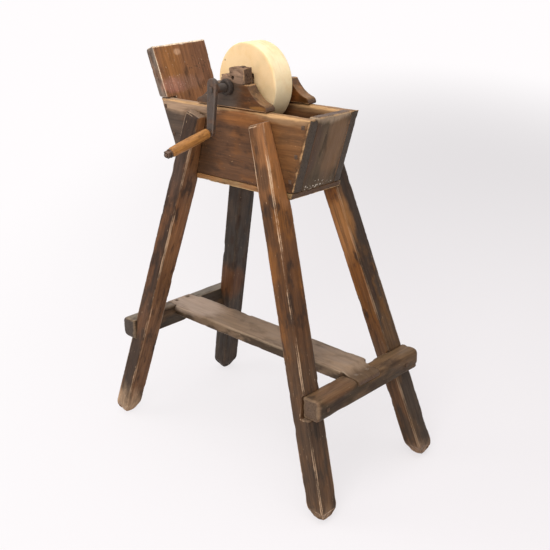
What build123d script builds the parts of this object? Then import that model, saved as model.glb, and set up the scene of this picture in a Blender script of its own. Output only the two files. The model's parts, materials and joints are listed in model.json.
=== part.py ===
"""Hand-cranked grindstone in a wooden water trough on a four-legged trestle stand.

Millimetres. X runs along the trough, Y across it (the crank is on the -Y side), Z is up from the floor.
The pieces are modelled with the stone's centre at X = Y = 0, and are moved along Y when they are
exported, so that the origin lies under the middle of the whole object.
"""

import os
from math import atan2, cos, degrees, radians, sin, tan

from build123d import *

# ---------------------------------------------------------------- driving dimensions
# Trough
RIM_Z = 776.0  # top of the side boards above the floor
BASE_Z = 612.0  # underside of the bottom board
TROUGH_WIDTH = 147.0  # over the side boards
BASE_REACH = 165.0  # middle of the trough to either end, at the underside
RIM_REACH_RIGHT = 219.0  # middle of the trough to the right end, at the rim
RIM_REACH_LEFT = 227.0  # and to the left end, where the tall board leans further
BOARD_T = 26.0  # side and end boards
BOTTOM_T = 13.0
TALL_BOARD_Z = 875.0  # outer top edge of the tall board, at its front corner
TALL_BOARD_RISE = 3.0  # its back corner is higher by this much
TALL_BOARD_SPREAD = 4.0  # and its back edge reaches out this far past the trough at the top
TALL_BOARD_ROUND = 7.0
ARRIS = 2.5  # worn long edges of the boards
SPLASH_SHOULDER_GAP = 0.3  # the tall board's shoulders over the side boards' ends

# Legs: square posts, raked along X and splayed along Y
LEG_FOOT_X = 329.0  # middle of a foot on the floor
LEG_FOOT_Y = 166.0
LEG_RAKE = 17.3  # degrees from vertical, seen from the side
LEG_SPLAY = 7.05  # degrees from vertical, seen from the end
LEG_X = 45.0
LEG_Y = 48.0
LEG_TOP_Z = 757.0  # middle of the leg's top end
LEG_ARRIS = 3.0
LEG_TOP_ROUND = 4.0
FOOT_PARE = 9.0  # the worn foot is pared in by this much,
FOOT_PARE_H = 24.0  # over this height
FOOT_ROUND = 6.0

# Stretchers
STRETCHER_TOP_Z = 262.0
END_STRETCHER_OUTER_X = 309.0
END_STRETCHER_T = 43.0
END_STRETCHER_H = 49.0
RIGHT_STRETCHER_DROP = 9.0  # the right one sits lower, so the long stretcher stands proud of it
END_STRETCHER_FRONT = 167.0  # the left stretcher's front end, from the middle
END_STRETCHER_BACK = 169.0
RIGHT_STRETCHER_FRONT = 158.0  # the right one ends flush with its leg
END_STRETCHER_ROUND = 13.0  # its worn outer edges
LONG_STRETCHER_W = 86.0
LONG_STRETCHER_T = 23.0
LAP_SHOULDER = 8.0  # each side of the lap is narrower than the board by this much
LAP_GAP = 0.2

# Stone
STONE_R = 83.0
STONE_T = 51.0
STONE_EDGE_CHAMFER = 2.0
STONE_EYE = 42.0  # square hole
AXLE_Z = 818.0

# Bearing blocks and keepers
BLOCK_BASE_HALF = 103.0
BLOCK_TOP_HALF = 51.0
BLOCK_TOP_Z = 825.0
BLOCK_SWEEP_DROP = 35.0  # the hollow shoulder falls this far to the toe
BLOCK_SWEEP_DEPTH = 5.0  # how far the shoulder is hollowed below a straight slope
BLOCK_TOE_ROUND = 11.0
SHELL_T = 2.5  # iron strip bent around the journal
KEEPER_D = 24.0
KEEPER_TONGUE = 25.0
KEEPER_TONGUE_H = 16.0
KEEPER_BODY = 44.0
KEEPER_BODY_H = 32.0
KEEPER_ROUND = 7.0
KEEPER_PEG_HOLE_IN = 11.0  # from the body's upright end
KEEPER_PEG_HOLE_UP = 11.0  # above the block
KEEPER_PEG_HOLE_R = 3.0
KEEPER_PEG_HOLE_DEPTH = 12.0

# Axle
JOURNAL_R = 9.0
RUNNING_GAP = 0.06  # radial, between anything that turns and what holds it
SEAT_GAP = 0.08  # radial, round pieces that sit still on one another
AXLE_SQUARE = 26.0  # across the flats of the square middle
AXLE_SQUARE_HALF = 37.0  # half its length
TANG_SQUARE = 11.0
TANG_ROOT = 2.0  # the tang starts inside the round end
TANG_PROUD = 2.0  # and stands out past the crank
AXLE_BACK_REACH = 97.0
AXLE_CHAMFER = 1.5
TANG_CHAMFER = 1.0
COLLAR_R = 16.5
COLLAR_T = 12.0
COLLAR_CHAMFER = 2.0
COLLAR_PLAY = 1.0  # end float of the axle on each side
FLANGE_R = 24.0
FLANGE_T = 4.0
FLANGE_PLAY = 0.4
FLANGE_PIN_R = 2.0
FLANGE_PIN_REACH = 20.0
WEDGE_PROUD = 2.0
WEDGE_NOSE = 1.5

# Crank and handle
CRANK_Y = 117.0  # middle of the arm's thickness, in front of the middle of the trough
CRANK_SWING = 7.5  # degrees, how the arm hangs at rest, towards the left end
ARM_T = 10.0
ARM_R = 86.0  # axle to handle
ARM_HEAD_R = 13.0
ARM_HEAD_RISE = 9.0  # the head runs on past the axle
ARM_FOOT_R = 9.5
ARM_CHAMFER = 1.5
HANDLE_DROOP = 14.5  # degrees, the bent spindle points down as it runs out
SPINDLE_R = 4.5
SPINDLE_CHAMFER = 1.0
SPINDLE_RIVET = 2.0  # the spindle's end, spread behind the arm
GRIP_R = 11.0
GRIP_END_R = 10.0
GRIP_L = 99.0
GRIP_CHAMFER = 3.0
GRIP_GROOVE_AT = 17.0
GRIP_GROOVE_R = 1.0
GRIP_GROOVE_DEPTH = 1.2
GRIP_END_GAP = 0.8
GRIP_WASHER_R = 9.0
GRIP_WASHER_T = 2.5
SPINDLE_NUT_SQUARE = 14.0
SPINDLE_NUT_T = 8.0
SPINDLE_NUT_CHAMFER = 2.0
SPINDLE_TAIL = 3.0

# Hand-forged iron nails with square shanks and low four-sided heads
NAIL_SHANK = 3.6  # across the flats
NAIL_HEAD = 8.5
NAIL_HEAD_T = 2.0
NAIL_TAPER = 1.0  # degrees, each side of the shank
NAIL_HEAD_SLOPE = 48.0  # degrees from upright
NAIL_GAP = 0.1  # around the shank, in the holes of both pieces
TROUGH_NAIL_L = 56.0
TROUGH_NAIL_RISE = 24.0  # the lowest above the bottom board
TROUGH_NAIL_DROP = 17.0  # the highest below the rim
BASE_NAIL_L = 50.0
BASE_NAIL_STEP = 64.0
BASE_NAIL_COUNT = 4  # along each side
LEG_NAIL_SHANK = 6.0
LEG_NAIL_HEAD = 13.0
LEG_NAIL_L = 42.0
LEG_NAIL_RISE = 34.0
LEG_NAIL_DROP = 50.0
STRETCHER_NAIL_L = 62.0
STRETCHER_NAIL_RISE = 22.0  # above the underside of the rail
STRETCHER_NAIL_INSET = 10.0  # from the middle of the leg, towards the middle of the rail
LAP_NAIL_L = 40.0
KEEPER_NAIL_SHANK = 5.0
KEEPER_NAIL_HEAD = 11.0
KEEPER_NAIL_L = 56.0
KEEPER_NAIL_X = 29.0

# ---------------------------------------------------------------- dimensions worked out from them
HALF_W = TROUGH_WIDTH / 2
INNER_HALF_W = HALF_W - BOARD_T
WALL_Z = BASE_Z + BOTTOM_T  # foot of the side and end boards
END_SLOPE = {
    1: (RIM_REACH_RIGHT - BASE_REACH) / (RIM_Z - BASE_Z),
    -1: (RIM_REACH_LEFT - BASE_REACH) / (RIM_Z - BASE_Z),
}
RAKE = tan(radians(LEG_RAKE))
SPLAY = tan(radians(LEG_SPLAY))
STRETCHER_BASE_Z = {
    -1: STRETCHER_TOP_Z - END_STRETCHER_H,
    1: STRETCHER_TOP_Z - RIGHT_STRETCHER_DROP - END_STRETCHER_H,
}
STRETCHER_INNER_X = END_STRETCHER_OUTER_X - END_STRETCHER_T
LAP_Z = STRETCHER_TOP_Z - LONG_STRETCHER_T
LAP_HALF = LONG_STRETCHER_W / 2 - LAP_SHOULDER
BORE_R = JOURNAL_R + RUNNING_GAP
SHELL_R = BORE_R + SHELL_T
BLOCK_MID_Y = HALF_W - BOARD_T / 2
COLLAR_Y = HALF_W + COLLAR_PLAY
FLANGE_Y = STONE_T / 2 + WEDGE_PROUD + FLANGE_PLAY
FLANGE_PIN_Y = FLANGE_Y + FLANGE_T + FLANGE_PLAY + FLANGE_PIN_R


def reach(z: float, side: int) -> float:
    """Outside of the trough's end from the middle, at height z; side is 1 right, -1 left."""
    return BASE_REACH + (z - BASE_Z) * END_SLOPE[side]


def level_thickness(side: int) -> float:
    """Thickness of an end board measured level along X."""
    return BOARD_T / cos(atan2(END_SLOPE[side], 1))


def leg_centre(z: float) -> tuple[float, float]:
    """X and Y of the middle of the back right leg at height z."""
    return (LEG_FOOT_X - RAKE * z, LEG_FOOT_Y - SPLAY * z)


# ---------------------------------------------------------------- nails
# A nail's plane lies on the surface under its head, with Z pointing out of the wood.
def drill(places: list[Plane], shank: float, length: float) -> None:
    """Cut the nails' holes in the part being built."""
    with Locations(*places):
        Box(
            shank + 2 * NAIL_GAP,
            shank + 2 * NAIL_GAP,
            length + NAIL_GAP,
            align=(Align.CENTER, Align.CENTER, Align.MAX),
            mode=Mode.SUBTRACT,
        )


def nails(places: list[Plane], shank: float, length: float, head: float) -> Part:
    """Forged nails, one at each place."""
    with BuildPart() as one:
        with BuildSketch():
            Rectangle(head, head)
        extrude(amount=NAIL_HEAD_T, taper=NAIL_HEAD_SLOPE)
        with BuildSketch():
            Rectangle(shank, shank)
        extrude(amount=-length, taper=NAIL_TAPER)
    with BuildPart() as group:
        with Locations(*places):
            add(one.part)
    return group.part


TROUGH_NAILS = [
    Plane(
        origin=(side * (reach(z, side) - level_thickness(side) / 2), face * HALF_W, z),
        z_dir=(0, face, 0),
    )
    for side in (-1, 1)
    for face in (-1, 1)
    for z in (WALL_Z + TROUGH_NAIL_RISE, (WALL_Z + RIM_Z) / 2, RIM_Z - TROUGH_NAIL_DROP)
]
BASE_NAILS = [
    Plane(
        origin=(
            (index - (BASE_NAIL_COUNT - 1) / 2) * BASE_NAIL_STEP,
            face * (HALF_W - BOARD_T / 2),
            BASE_Z,
        ),
        z_dir=(0, 0, -1),
    )
    for index in range(BASE_NAIL_COUNT)
    for face in (-1, 1)
]
LEG_NAILS = {
    (side, face): [
        Plane(
            origin=(side * leg_centre(z)[0], face * INNER_HALF_W, z),
            z_dir=(0, -face, 0),
        )
        for z in (WALL_Z + LEG_NAIL_RISE, RIM_Z - LEG_NAIL_DROP)
    ]
    for side in (-1, 1)
    for face in (-1, 1)
}
STRETCHER_NAIL_Z = {side: base + STRETCHER_NAIL_RISE for side, base in STRETCHER_BASE_Z.items()}
STRETCHER_NAILS = {
    side: [
        Plane(
            origin=(
                side * END_STRETCHER_OUTER_X,
                face * (leg_centre(STRETCHER_NAIL_Z[side])[1] - STRETCHER_NAIL_INSET),
                STRETCHER_NAIL_Z[side],
            ),
            z_dir=(side, 0, 0),
        )
        for face in (-1, 1)
    ]
    for side in (-1, 1)
}
LAP_NAILS = {
    side: [
        Plane(
            origin=(side * (STRETCHER_INNER_X + END_STRETCHER_T / 2), y, STRETCHER_TOP_Z),
            z_dir=(0, 0, 1),
        )
        for y in (-LAP_HALF / 2, LAP_HALF / 2)
    ]
    for side in (-1, 1)
}


# ---------------------------------------------------------------- trough boards
def side_board(face: int) -> Part:
    """One long side of the trough; face is -1 for the front and 1 for the back."""
    with BuildPart() as board:
        with BuildSketch(Plane.XZ.offset(-face * HALF_W)):
            with BuildLine():
                Polyline(
                    (-reach(WALL_Z, -1), WALL_Z),
                    (reach(WALL_Z, 1), WALL_Z),
                    (reach(RIM_Z, 1), RIM_Z),
                    (-reach(RIM_Z, -1), RIM_Z),
                    close=True,
                )
            make_face()
        extrude(amount=face * BOARD_T)
        chamfer(board.edges().filter_by(Axis.X).group_by(Axis.Z)[-1], ARRIS)
        drill(
            [p for p in TROUGH_NAILS if p.origin.Y * face > 0],
            NAIL_SHANK,
            TROUGH_NAIL_L,
        )
        drill([p for p in BASE_NAILS if p.origin.Y * face > 0], NAIL_SHANK, BASE_NAIL_L)
        for side in (-1, 1):
            drill(LEG_NAILS[side, face], LEG_NAIL_SHANK, LEG_NAIL_L)
    return board.part


with BuildPart() as front_side_board:
    add(side_board(-1))

with BuildPart() as back_side_board:
    add(side_board(1))


with BuildPart() as right_end_board:
    with BuildSketch(Plane.XZ):
        with BuildLine():
            Polyline(
                (reach(WALL_Z, 1) - level_thickness(1), WALL_Z),
                (reach(WALL_Z, 1), WALL_Z),
                (reach(RIM_Z, 1), RIM_Z),
                (reach(RIM_Z, 1) - level_thickness(1), RIM_Z),
                close=True,
            )
        make_face()
    extrude(amount=INNER_HALF_W, both=True)
    chamfer(right_end_board.edges().filter_by(Axis.Y).group_by(Axis.Z)[-1], ARRIS)
    drill([p for p in TROUGH_NAILS if p.origin.X > 0], NAIL_SHANK, TROUGH_NAIL_L)


with BuildPart() as tall_end_board:
    lean = atan2(END_SLOPE[-1], 1)
    up_slope = Vector(-sin(lean), 0, cos(lean))
    through = Vector(cos(lean), 0, sin(lean))
    top_outer = Vector(-reach(TALL_BOARD_Z, -1), 0, TALL_BOARD_Z)
    uncut_outer = top_outer + up_slope * 2 * TALL_BOARD_RISE
    uncut_inner = uncut_outer + through * BOARD_T
    with BuildSketch(Plane.XZ):
        with BuildLine():
            Polyline(
                (-reach(WALL_Z, -1), WALL_Z),
                (-reach(WALL_Z, -1) + level_thickness(-1), WALL_Z),
                (uncut_inner.X, uncut_inner.Z),
                (uncut_outer.X, uncut_outer.Z),
                close=True,
            )
        make_face()
    extrude(amount=INNER_HALF_W, both=True)
    # Above the rim the board widens over the side boards' ends.
    with BuildSketch(Plane.XZ.offset(HALF_W)):
        with BuildLine():
            shoulder_z = RIM_Z + SPLASH_SHOULDER_GAP
            Polyline(
                (-reach(shoulder_z, -1), shoulder_z),
                (-reach(shoulder_z, -1) + level_thickness(-1), shoulder_z),
                (uncut_inner.X, uncut_inner.Z),
                (uncut_outer.X, uncut_outer.Z),
                close=True,
            )
        make_face()
    extrude(amount=-(TROUGH_WIDTH + TALL_BOARD_SPREAD))
    # The top was sawn a little out of square, and the back edge leans out.
    along_top = Vector(0, TROUGH_WIDTH, 0) + up_slope * TALL_BOARD_RISE
    front_corner = top_outer - Vector(0, HALF_W, 0)
    top_plane = Plane(origin=front_corner, z_dir=through.cross(along_top))
    split(bisect_by=top_plane, keep=Keep.BOTTOM)
    back_edge = up_slope * ((TALL_BOARD_Z - RIM_Z) / cos(lean)) + Vector(0, TALL_BOARD_SPREAD, 0)
    back_corner = Vector(-reach(shoulder_z, -1), HALF_W, shoulder_z)
    split(bisect_by=Plane(origin=back_corner, z_dir=back_edge.cross(through)), keep=Keep.BOTTOM)
    top_face = tall_end_board.faces().filter_by(top_plane).sort_by(Axis.Z)[-1]
    fillet(top_face.edges().sort_by(Axis.X)[0], TALL_BOARD_ROUND)
    top_face = tall_end_board.faces().filter_by(top_plane).sort_by(Axis.Z)[-1]
    chamfer(top_face.edges().sort_by(Axis.X)[-1], ARRIS)
    drill([p for p in TROUGH_NAILS if p.origin.X < 0], NAIL_SHANK, TROUGH_NAIL_L)


with BuildPart() as bottom_board:
    with BuildSketch(Plane.XZ):
        with BuildLine():
            Polyline(
                (-reach(BASE_Z, -1), BASE_Z),
                (reach(BASE_Z, 1), BASE_Z),
                (reach(WALL_Z, 1), WALL_Z),
                (-reach(WALL_Z, -1), WALL_Z),
                close=True,
            )
        make_face()
    extrude(amount=HALF_W, both=True)
    drill(BASE_NAILS, NAIL_SHANK, BASE_NAIL_L)


# ---------------------------------------------------------------- legs
def leg(side: int, face: int) -> Part:
    """A raked and splayed post, cut away to lie flat against the trough and under it."""
    axis_dir = Vector(-side * RAKE, -face * SPLAY, 1)
    with BuildPart() as post:
        with BuildSketch():
            with Locations((side * LEG_FOOT_X, face * LEG_FOOT_Y)):
                Rectangle(LEG_X, LEG_Y)
        extrude(amount=(LEG_TOP_Z + LEG_X) * axis_dir.length, dir=axis_dir)
        sole = post.faces().sort_by(Axis.Z)[0]
        chamfer(sole.edges(), FOOT_PARE, FOOT_PARE_H, reference=sole)
        long_edges = post.edges().filter_by(Axis((0, 0, 0), axis_dir))
        chamfer(long_edges, LEG_ARRIS)
        # The top end is square to the leg's length, seen from the side.
        top = Plane(
            origin=(side * leg_centre(LEG_TOP_Z)[0], 0, LEG_TOP_Z),
            z_dir=(-side * sin(radians(LEG_RAKE)), 0, cos(radians(LEG_RAKE))),
        )
        split(bisect_by=top, keep=Keep.BOTTOM)
        # Its upper part is pared off flush with the side board, leaving a shoulder under the trough.
        with Locations((side * leg_centre(RIM_Z)[0], face * HALF_W, BASE_Z)):
            Box(
                4 * BASE_REACH,
                2 * LEG_Y,
                RIM_Z - BASE_Z + LEG_X,
                align=(
                    Align.CENTER,
                    Align.MAX if face > 0 else Align.MIN,
                    Align.MIN,
                ),
                mode=Mode.SUBTRACT,
            )
        # A housing in the outer face takes the end stretcher.
        with Locations((side * STRETCHER_INNER_X, 0, STRETCHER_BASE_Z[side])):
            Box(
                END_STRETCHER_T * 2,
                4 * LEG_FOOT_Y,
                END_STRETCHER_H,
                align=(
                    Align.MIN if side > 0 else Align.MAX,
                    Align.CENTER,
                    Align.MIN,
                ),
                mode=Mode.SUBTRACT,
            )
        chamfer(post.faces().sort_by(Axis.Z)[0].edges(), FOOT_ROUND)
        chamfer(
            post.faces().sort_by(Axis.Z)[-1].edges().sort_by(Axis.Y)[0 if face < 0 else -1],
            LEG_TOP_ROUND,
        )
        drill(LEG_NAILS[side, face], LEG_NAIL_SHANK, LEG_NAIL_L)
        drill(STRETCHER_NAILS[side], NAIL_SHANK, STRETCHER_NAIL_L)
    return post.part


with BuildPart() as front_left_leg:
    add(leg(-1, -1))

with BuildPart() as front_right_leg:
    add(leg(1, -1))

with BuildPart() as back_left_leg:
    add(leg(-1, 1))

with BuildPart() as back_right_leg:
    add(leg(1, 1))


# ---------------------------------------------------------------- stretchers
def end_stretcher(side: int, front: float, back: float) -> Part:
    """A rail across a pair of legs, let into their outer faces and notched for the long stretcher."""
    with BuildPart() as rail:
        with BuildSketch(Plane.XZ.offset(front)):
            with Locations((side * (STRETCHER_INNER_X + END_STRETCHER_T / 2), STRETCHER_BASE_Z[side])):
                Rectangle(
                    END_STRETCHER_T,
                    END_STRETCHER_H,
                    align=(Align.CENTER, Align.MIN),
                )
        extrude(amount=-(front + back))
        outer = rail.faces().sort_by(Axis.X)[-1 if side > 0 else 0]
        fillet(outer.edges().filter_by(Axis.Y), END_STRETCHER_ROUND)
        chamfer(rail.faces().filter_by(Axis.Y).edges(), ARRIS)
        with Locations((0, 0, LAP_Z)):
            Box(
                3 * END_STRETCHER_OUTER_X,
                2 * (LAP_HALF + LAP_GAP),
                LONG_STRETCHER_T * 2,
                align=(Align.CENTER, Align.CENTER, Align.MIN),
                mode=Mode.SUBTRACT,
            )
        drill(STRETCHER_NAILS[side], NAIL_SHANK, STRETCHER_NAIL_L)
        drill(LAP_NAILS[side], NAIL_SHANK, LAP_NAIL_L)
    return rail.part


with BuildPart() as left_end_stretcher:
    add(end_stretcher(-1, END_STRETCHER_FRONT, END_STRETCHER_BACK))

with BuildPart() as right_end_stretcher:
    add(end_stretcher(1, RIGHT_STRETCHER_FRONT, END_STRETCHER_BACK))


with BuildPart() as long_stretcher:
    with BuildSketch(Plane.XY.offset(LAP_Z)):
        Rectangle(2 * STRETCHER_INNER_X - 2 * LAP_GAP, LONG_STRETCHER_W)
        Rectangle(2 * END_STRETCHER_OUTER_X, 2 * LAP_HALF)
    extrude(amount=LONG_STRETCHER_T)
    # Its ends are rounded over with the rails' outer edges.
    ends = long_stretcher.faces().filter_by(Axis.X)
    end_tops = (ends.sort_by(Axis.X)[0].edges() + ends.sort_by(Axis.X)[-1].edges()).filter_by(Axis.Y)
    fillet(end_tops.group_by(Axis.Z)[-1], END_STRETCHER_ROUND)
    long_tops = long_stretcher.edges().filter_by(Axis.X).group_by(Axis.Z)[-1]
    chamfer(long_tops.group_by(Axis.Y)[0] + long_tops.group_by(Axis.Y)[-1], ARRIS)
    for side in (-1, 1):
        drill(LAP_NAILS[side], NAIL_SHANK, LAP_NAIL_L)


# ---------------------------------------------------------------- bearings
def block_nail(face: int) -> Plane:
    """The keeper's nail, down through its body into the block and the side board."""
    return Plane(origin=(-face * KEEPER_NAIL_X, face * BLOCK_MID_Y, BLOCK_TOP_Z + KEEPER_BODY_H))


def bearing_block(face: int) -> Part:
    """A block with hollow shoulders on the rim, notched from above for the axle."""
    with BuildPart() as block:
        with BuildSketch(Plane.XZ.offset(-face * HALF_W)):
            with BuildLine():
                toe_z = BLOCK_TOP_Z - BLOCK_SWEEP_DROP
                toe_side = (BLOCK_BASE_HALF, toe_z - BLOCK_TOE_ROUND)
                toe_top = (BLOCK_BASE_HALF - BLOCK_TOE_ROUND, toe_z)
                shoulder = (BLOCK_TOP_HALF, BLOCK_TOP_Z)
                Polyline((0, RIM_Z), (BLOCK_BASE_HALF, RIM_Z), toe_side)
                RadiusArc(toe_side, toe_top, -BLOCK_TOE_ROUND)
                SagittaArc(toe_top, shoulder, BLOCK_SWEEP_DEPTH)
                Line(shoulder, (0, BLOCK_TOP_Z))
                mirror(about=Plane.YZ)
            make_face()
        extrude(amount=face * BOARD_T)
        # The notch for the axle and its iron shell, open at the top.
        with BuildSketch(Plane.XZ):
            with Locations((0, AXLE_Z)):
                Circle(SHELL_R + SEAT_GAP)
                Rectangle(
                    2 * (SHELL_R + SEAT_GAP),
                    2 * (BLOCK_TOP_Z - AXLE_Z),
                    align=(Align.CENTER, Align.MIN),
                )
        extrude(amount=TROUGH_WIDTH, both=True, mode=Mode.SUBTRACT)
        drill([block_nail(face)], KEEPER_NAIL_SHANK, KEEPER_NAIL_L)
    return block.part


def bearing_shell(face: int) -> Part:
    """An iron strip bent into a U that lines the block's notch."""
    with BuildPart() as shell:
        with BuildSketch(Plane.XZ.offset(-face * HALF_W)):
            with Locations((0, AXLE_Z)):
                Circle(SHELL_R)
                Rectangle(
                    2 * SHELL_R,
                    BLOCK_TOP_Z - AXLE_Z,
                    align=(Align.CENTER, Align.MIN),
                )
                Circle(BORE_R, mode=Mode.SUBTRACT)
                Rectangle(
                    2 * BORE_R,
                    2 * (BLOCK_TOP_Z - AXLE_Z),
                    align=(Align.CENTER, Align.MIN),
                    mode=Mode.SUBTRACT,
                )
            with Locations((0, BLOCK_TOP_Z)):
                Rectangle(
                    4 * SHELL_R,
                    4 * SHELL_R,
                    align=(Align.CENTER, Align.MIN),
                    mode=Mode.SUBTRACT,
                )
        extrude(amount=face * BOARD_T)
    return shell.part


def keeper(face: int) -> Part:
    """The wooden catch on a block: a thick body nailed beside the axle, and a tongue across it.

    The front one's tongue points left and the back one's right.
    """
    with BuildPart() as catch:
        with BuildSketch(Plane.XZ.offset(-face * HALF_W)):
            with BuildLine():
                turn = -face
                tip = turn * -KEEPER_TONGUE
                end = turn * KEEPER_BODY
                tongue_z = BLOCK_TOP_Z + KEEPER_TONGUE_H
                body_z = BLOCK_TOP_Z + KEEPER_BODY_H
                Polyline(
                    (tip, BLOCK_TOP_Z),
                    (end, BLOCK_TOP_Z),
                    (end, body_z),
                    (turn * KEEPER_ROUND, body_z),
                )
                RadiusArc(
                    (turn * KEEPER_ROUND, body_z),
                    (0, body_z - KEEPER_ROUND),
                    turn * -KEEPER_ROUND,
                )
                Polyline(
                    (0, body_z - KEEPER_ROUND),
                    (0, tongue_z),
                    (tip, tongue_z),
                    (tip, BLOCK_TOP_Z),
                )
            make_face()
        extrude(amount=face * KEEPER_D)
        # Hollowed underneath to the journal.
        with Locations(Plane(origin=(0, 0, AXLE_Z), z_dir=(0, 1, 0))):
            Cylinder(BORE_R, 4 * HALF_W, mode=Mode.SUBTRACT)
        peg_hole = Plane(
            origin=(turn * KEEPER_PEG_HOLE_IN, face * HALF_W, BLOCK_TOP_Z + KEEPER_PEG_HOLE_UP),
            z_dir=(0, face, 0),
        )
        with Locations(peg_hole):
            Cylinder(
                KEEPER_PEG_HOLE_R,
                KEEPER_PEG_HOLE_DEPTH,
                align=(Align.CENTER, Align.CENTER, Align.MAX),
                mode=Mode.SUBTRACT,
            )
        drill([block_nail(face)], KEEPER_NAIL_SHANK, KEEPER_NAIL_L)
    return catch.part


with BuildPart() as front_bearing_block:
    add(bearing_block(-1))

with BuildPart() as back_bearing_block:
    add(bearing_block(1))

with BuildPart() as front_bearing_shell:
    add(bearing_shell(-1))

with BuildPart() as back_bearing_shell:
    add(bearing_shell(1))

with BuildPart() as front_keeper:
    add(keeper(-1))

with BuildPart() as back_keeper:
    add(keeper(1))


# ---------------------------------------------------------------- axle, stone and what fixes it
CRANK_PLANE = Plane(
    origin=(0, -CRANK_Y, AXLE_Z),
    x_dir=(cos(radians(CRANK_SWING)), 0, -sin(radians(CRANK_SWING))),
    z_dir=(0, -1, 0),
)  # local -Y runs down the arm, local Z out towards the handle
TANG_START = CRANK_Y - ARM_T / 2


with BuildPart() as axle:
    with BuildSketch(Plane.XZ.offset(-AXLE_BACK_REACH)):
        with Locations((0, AXLE_Z)):
            Circle(JOURNAL_R)
    extrude(amount=AXLE_BACK_REACH + TANG_START)
    chamfer(axle.edges(), AXLE_CHAMFER)
    with BuildSketch(Plane.XZ):
        with Locations((0, AXLE_Z)):
            Rectangle(AXLE_SQUARE, AXLE_SQUARE)
    extrude(amount=AXLE_SQUARE_HALF, both=True)
    with BuildSketch(CRANK_PLANE.offset(-ARM_T / 2 - TANG_ROOT)):
        Rectangle(TANG_SQUARE, TANG_SQUARE)
    extrude(amount=TANG_ROOT + ARM_T + TANG_PROUD)
    chamfer(axle.faces().sort_by(Axis.Y)[0].edges(), TANG_CHAMFER)
    # Holes for the pins outside the flanges.
    for face in (-1, 1):
        with Locations(Plane(origin=(0, face * FLANGE_PIN_Y, AXLE_Z), z_dir=(1, 0, 0))):
            Cylinder(FLANGE_PIN_R + SEAT_GAP, 2 * AXLE_SQUARE, mode=Mode.SUBTRACT)


with BuildPart() as grindstone:
    with BuildSketch(Plane.XZ):
        with Locations((0, AXLE_Z)):
            Circle(STONE_R)
            Rectangle(STONE_EYE, STONE_EYE, mode=Mode.SUBTRACT)
    extrude(amount=STONE_T / 2, both=True)
    chamfer(grindstone.edges().filter_by(GeomType.CIRCLE), STONE_EDGE_CHAMFER)


def eye_wedge(turn: float) -> Part:
    """A hardwood slip between the axle's square and the stone's eye."""
    slip_t = (STONE_EYE - AXLE_SQUARE) / 2
    with BuildPart() as slip:
        with Locations((0, 0, AXLE_SQUARE / 2)):
            Box(
                AXLE_SQUARE,
                STONE_T + 2 * WEDGE_PROUD,
                slip_t,
                align=(Align.CENTER, Align.CENTER, Align.MIN),
            )
        nose = slip.faces().sort_by(Axis.Y)[0].edges().filter_by(Axis.X)
        chamfer(nose, WEDGE_NOSE)
    with BuildPart() as placed:
        with Locations(Location((0, 0, AXLE_Z), (0, turn, 0))):
            add(slip.part)
    return placed.part


with BuildPart() as upper_eye_wedge:
    add(eye_wedge(0))

with BuildPart() as lower_eye_wedge:
    add(eye_wedge(180))

with BuildPart() as left_eye_wedge:
    add(eye_wedge(-90))

with BuildPart() as right_eye_wedge:
    add(eye_wedge(90))


def flange(face: int) -> Part:
    """A round iron plate with a square eye, against the stone's wedges."""
    with BuildPart() as plate:
        with BuildSketch(Plane.XZ.offset(-face * FLANGE_Y)):
            with Locations((0, AXLE_Z)):
                Circle(FLANGE_R)
                Rectangle(
                    AXLE_SQUARE + 2 * SEAT_GAP,
                    AXLE_SQUARE + 2 * SEAT_GAP,
                    mode=Mode.SUBTRACT,
                )
        extrude(amount=-face * FLANGE_T)
    return plate.part


with BuildPart() as front_flange:
    add(flange(-1))

with BuildPart() as back_flange:
    add(flange(1))

with BuildPart() as flange_pins:
    for face in (-1, 1):
        with Locations(Plane(origin=(0, face * FLANGE_PIN_Y, AXLE_Z), z_dir=(1, 0, 0))):
            Cylinder(FLANGE_PIN_R, 2 * FLANGE_PIN_REACH)


def collar(face: int) -> Part:
    """A thick iron ring on the journal, outside the bearing block."""
    with BuildPart() as ring:
        with BuildSketch(Plane.XZ.offset(-face * COLLAR_Y)):
            with Locations((0, AXLE_Z)):
                Circle(COLLAR_R)
                Circle(JOURNAL_R + SEAT_GAP, mode=Mode.SUBTRACT)
        extrude(amount=-face * COLLAR_T)
        rims = ring.edges().filter_by(GeomType.CIRCLE).group_by(SortBy.RADIUS)[-1]
        chamfer(rims, COLLAR_CHAMFER)
    return ring.part


with BuildPart() as front_collar:
    add(collar(-1))

with BuildPart() as back_collar:
    add(collar(1))


# ---------------------------------------------------------------- crank and handle
EYE = CRANK_PLANE.origin + CRANK_PLANE.y_dir * -ARM_R
# The spindle's plane stands on the arm's outer face, tipped down by the droop.
SPINDLE_PLANE = Plane(
    origin=EYE + CRANK_PLANE.z_dir * (ARM_T / 2),
    x_dir=CRANK_PLANE.x_dir,
    z_dir=CRANK_PLANE.z_dir * cos(radians(HANDLE_DROOP))
    - CRANK_PLANE.y_dir * sin(radians(HANDLE_DROOP)),
)
GRIP_PROFILE_PLANE = Plane(
    origin=SPINDLE_PLANE.origin,
    x_dir=SPINDLE_PLANE.x_dir,
    z_dir=SPINDLE_PLANE.y_dir,
)
GRIP_START = GRIP_END_GAP + (GRIP_END_R - GRIP_CHAMFER) * tan(radians(HANDLE_DROOP))
WASHER_START = GRIP_START + GRIP_L + GRIP_END_GAP / 2


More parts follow.
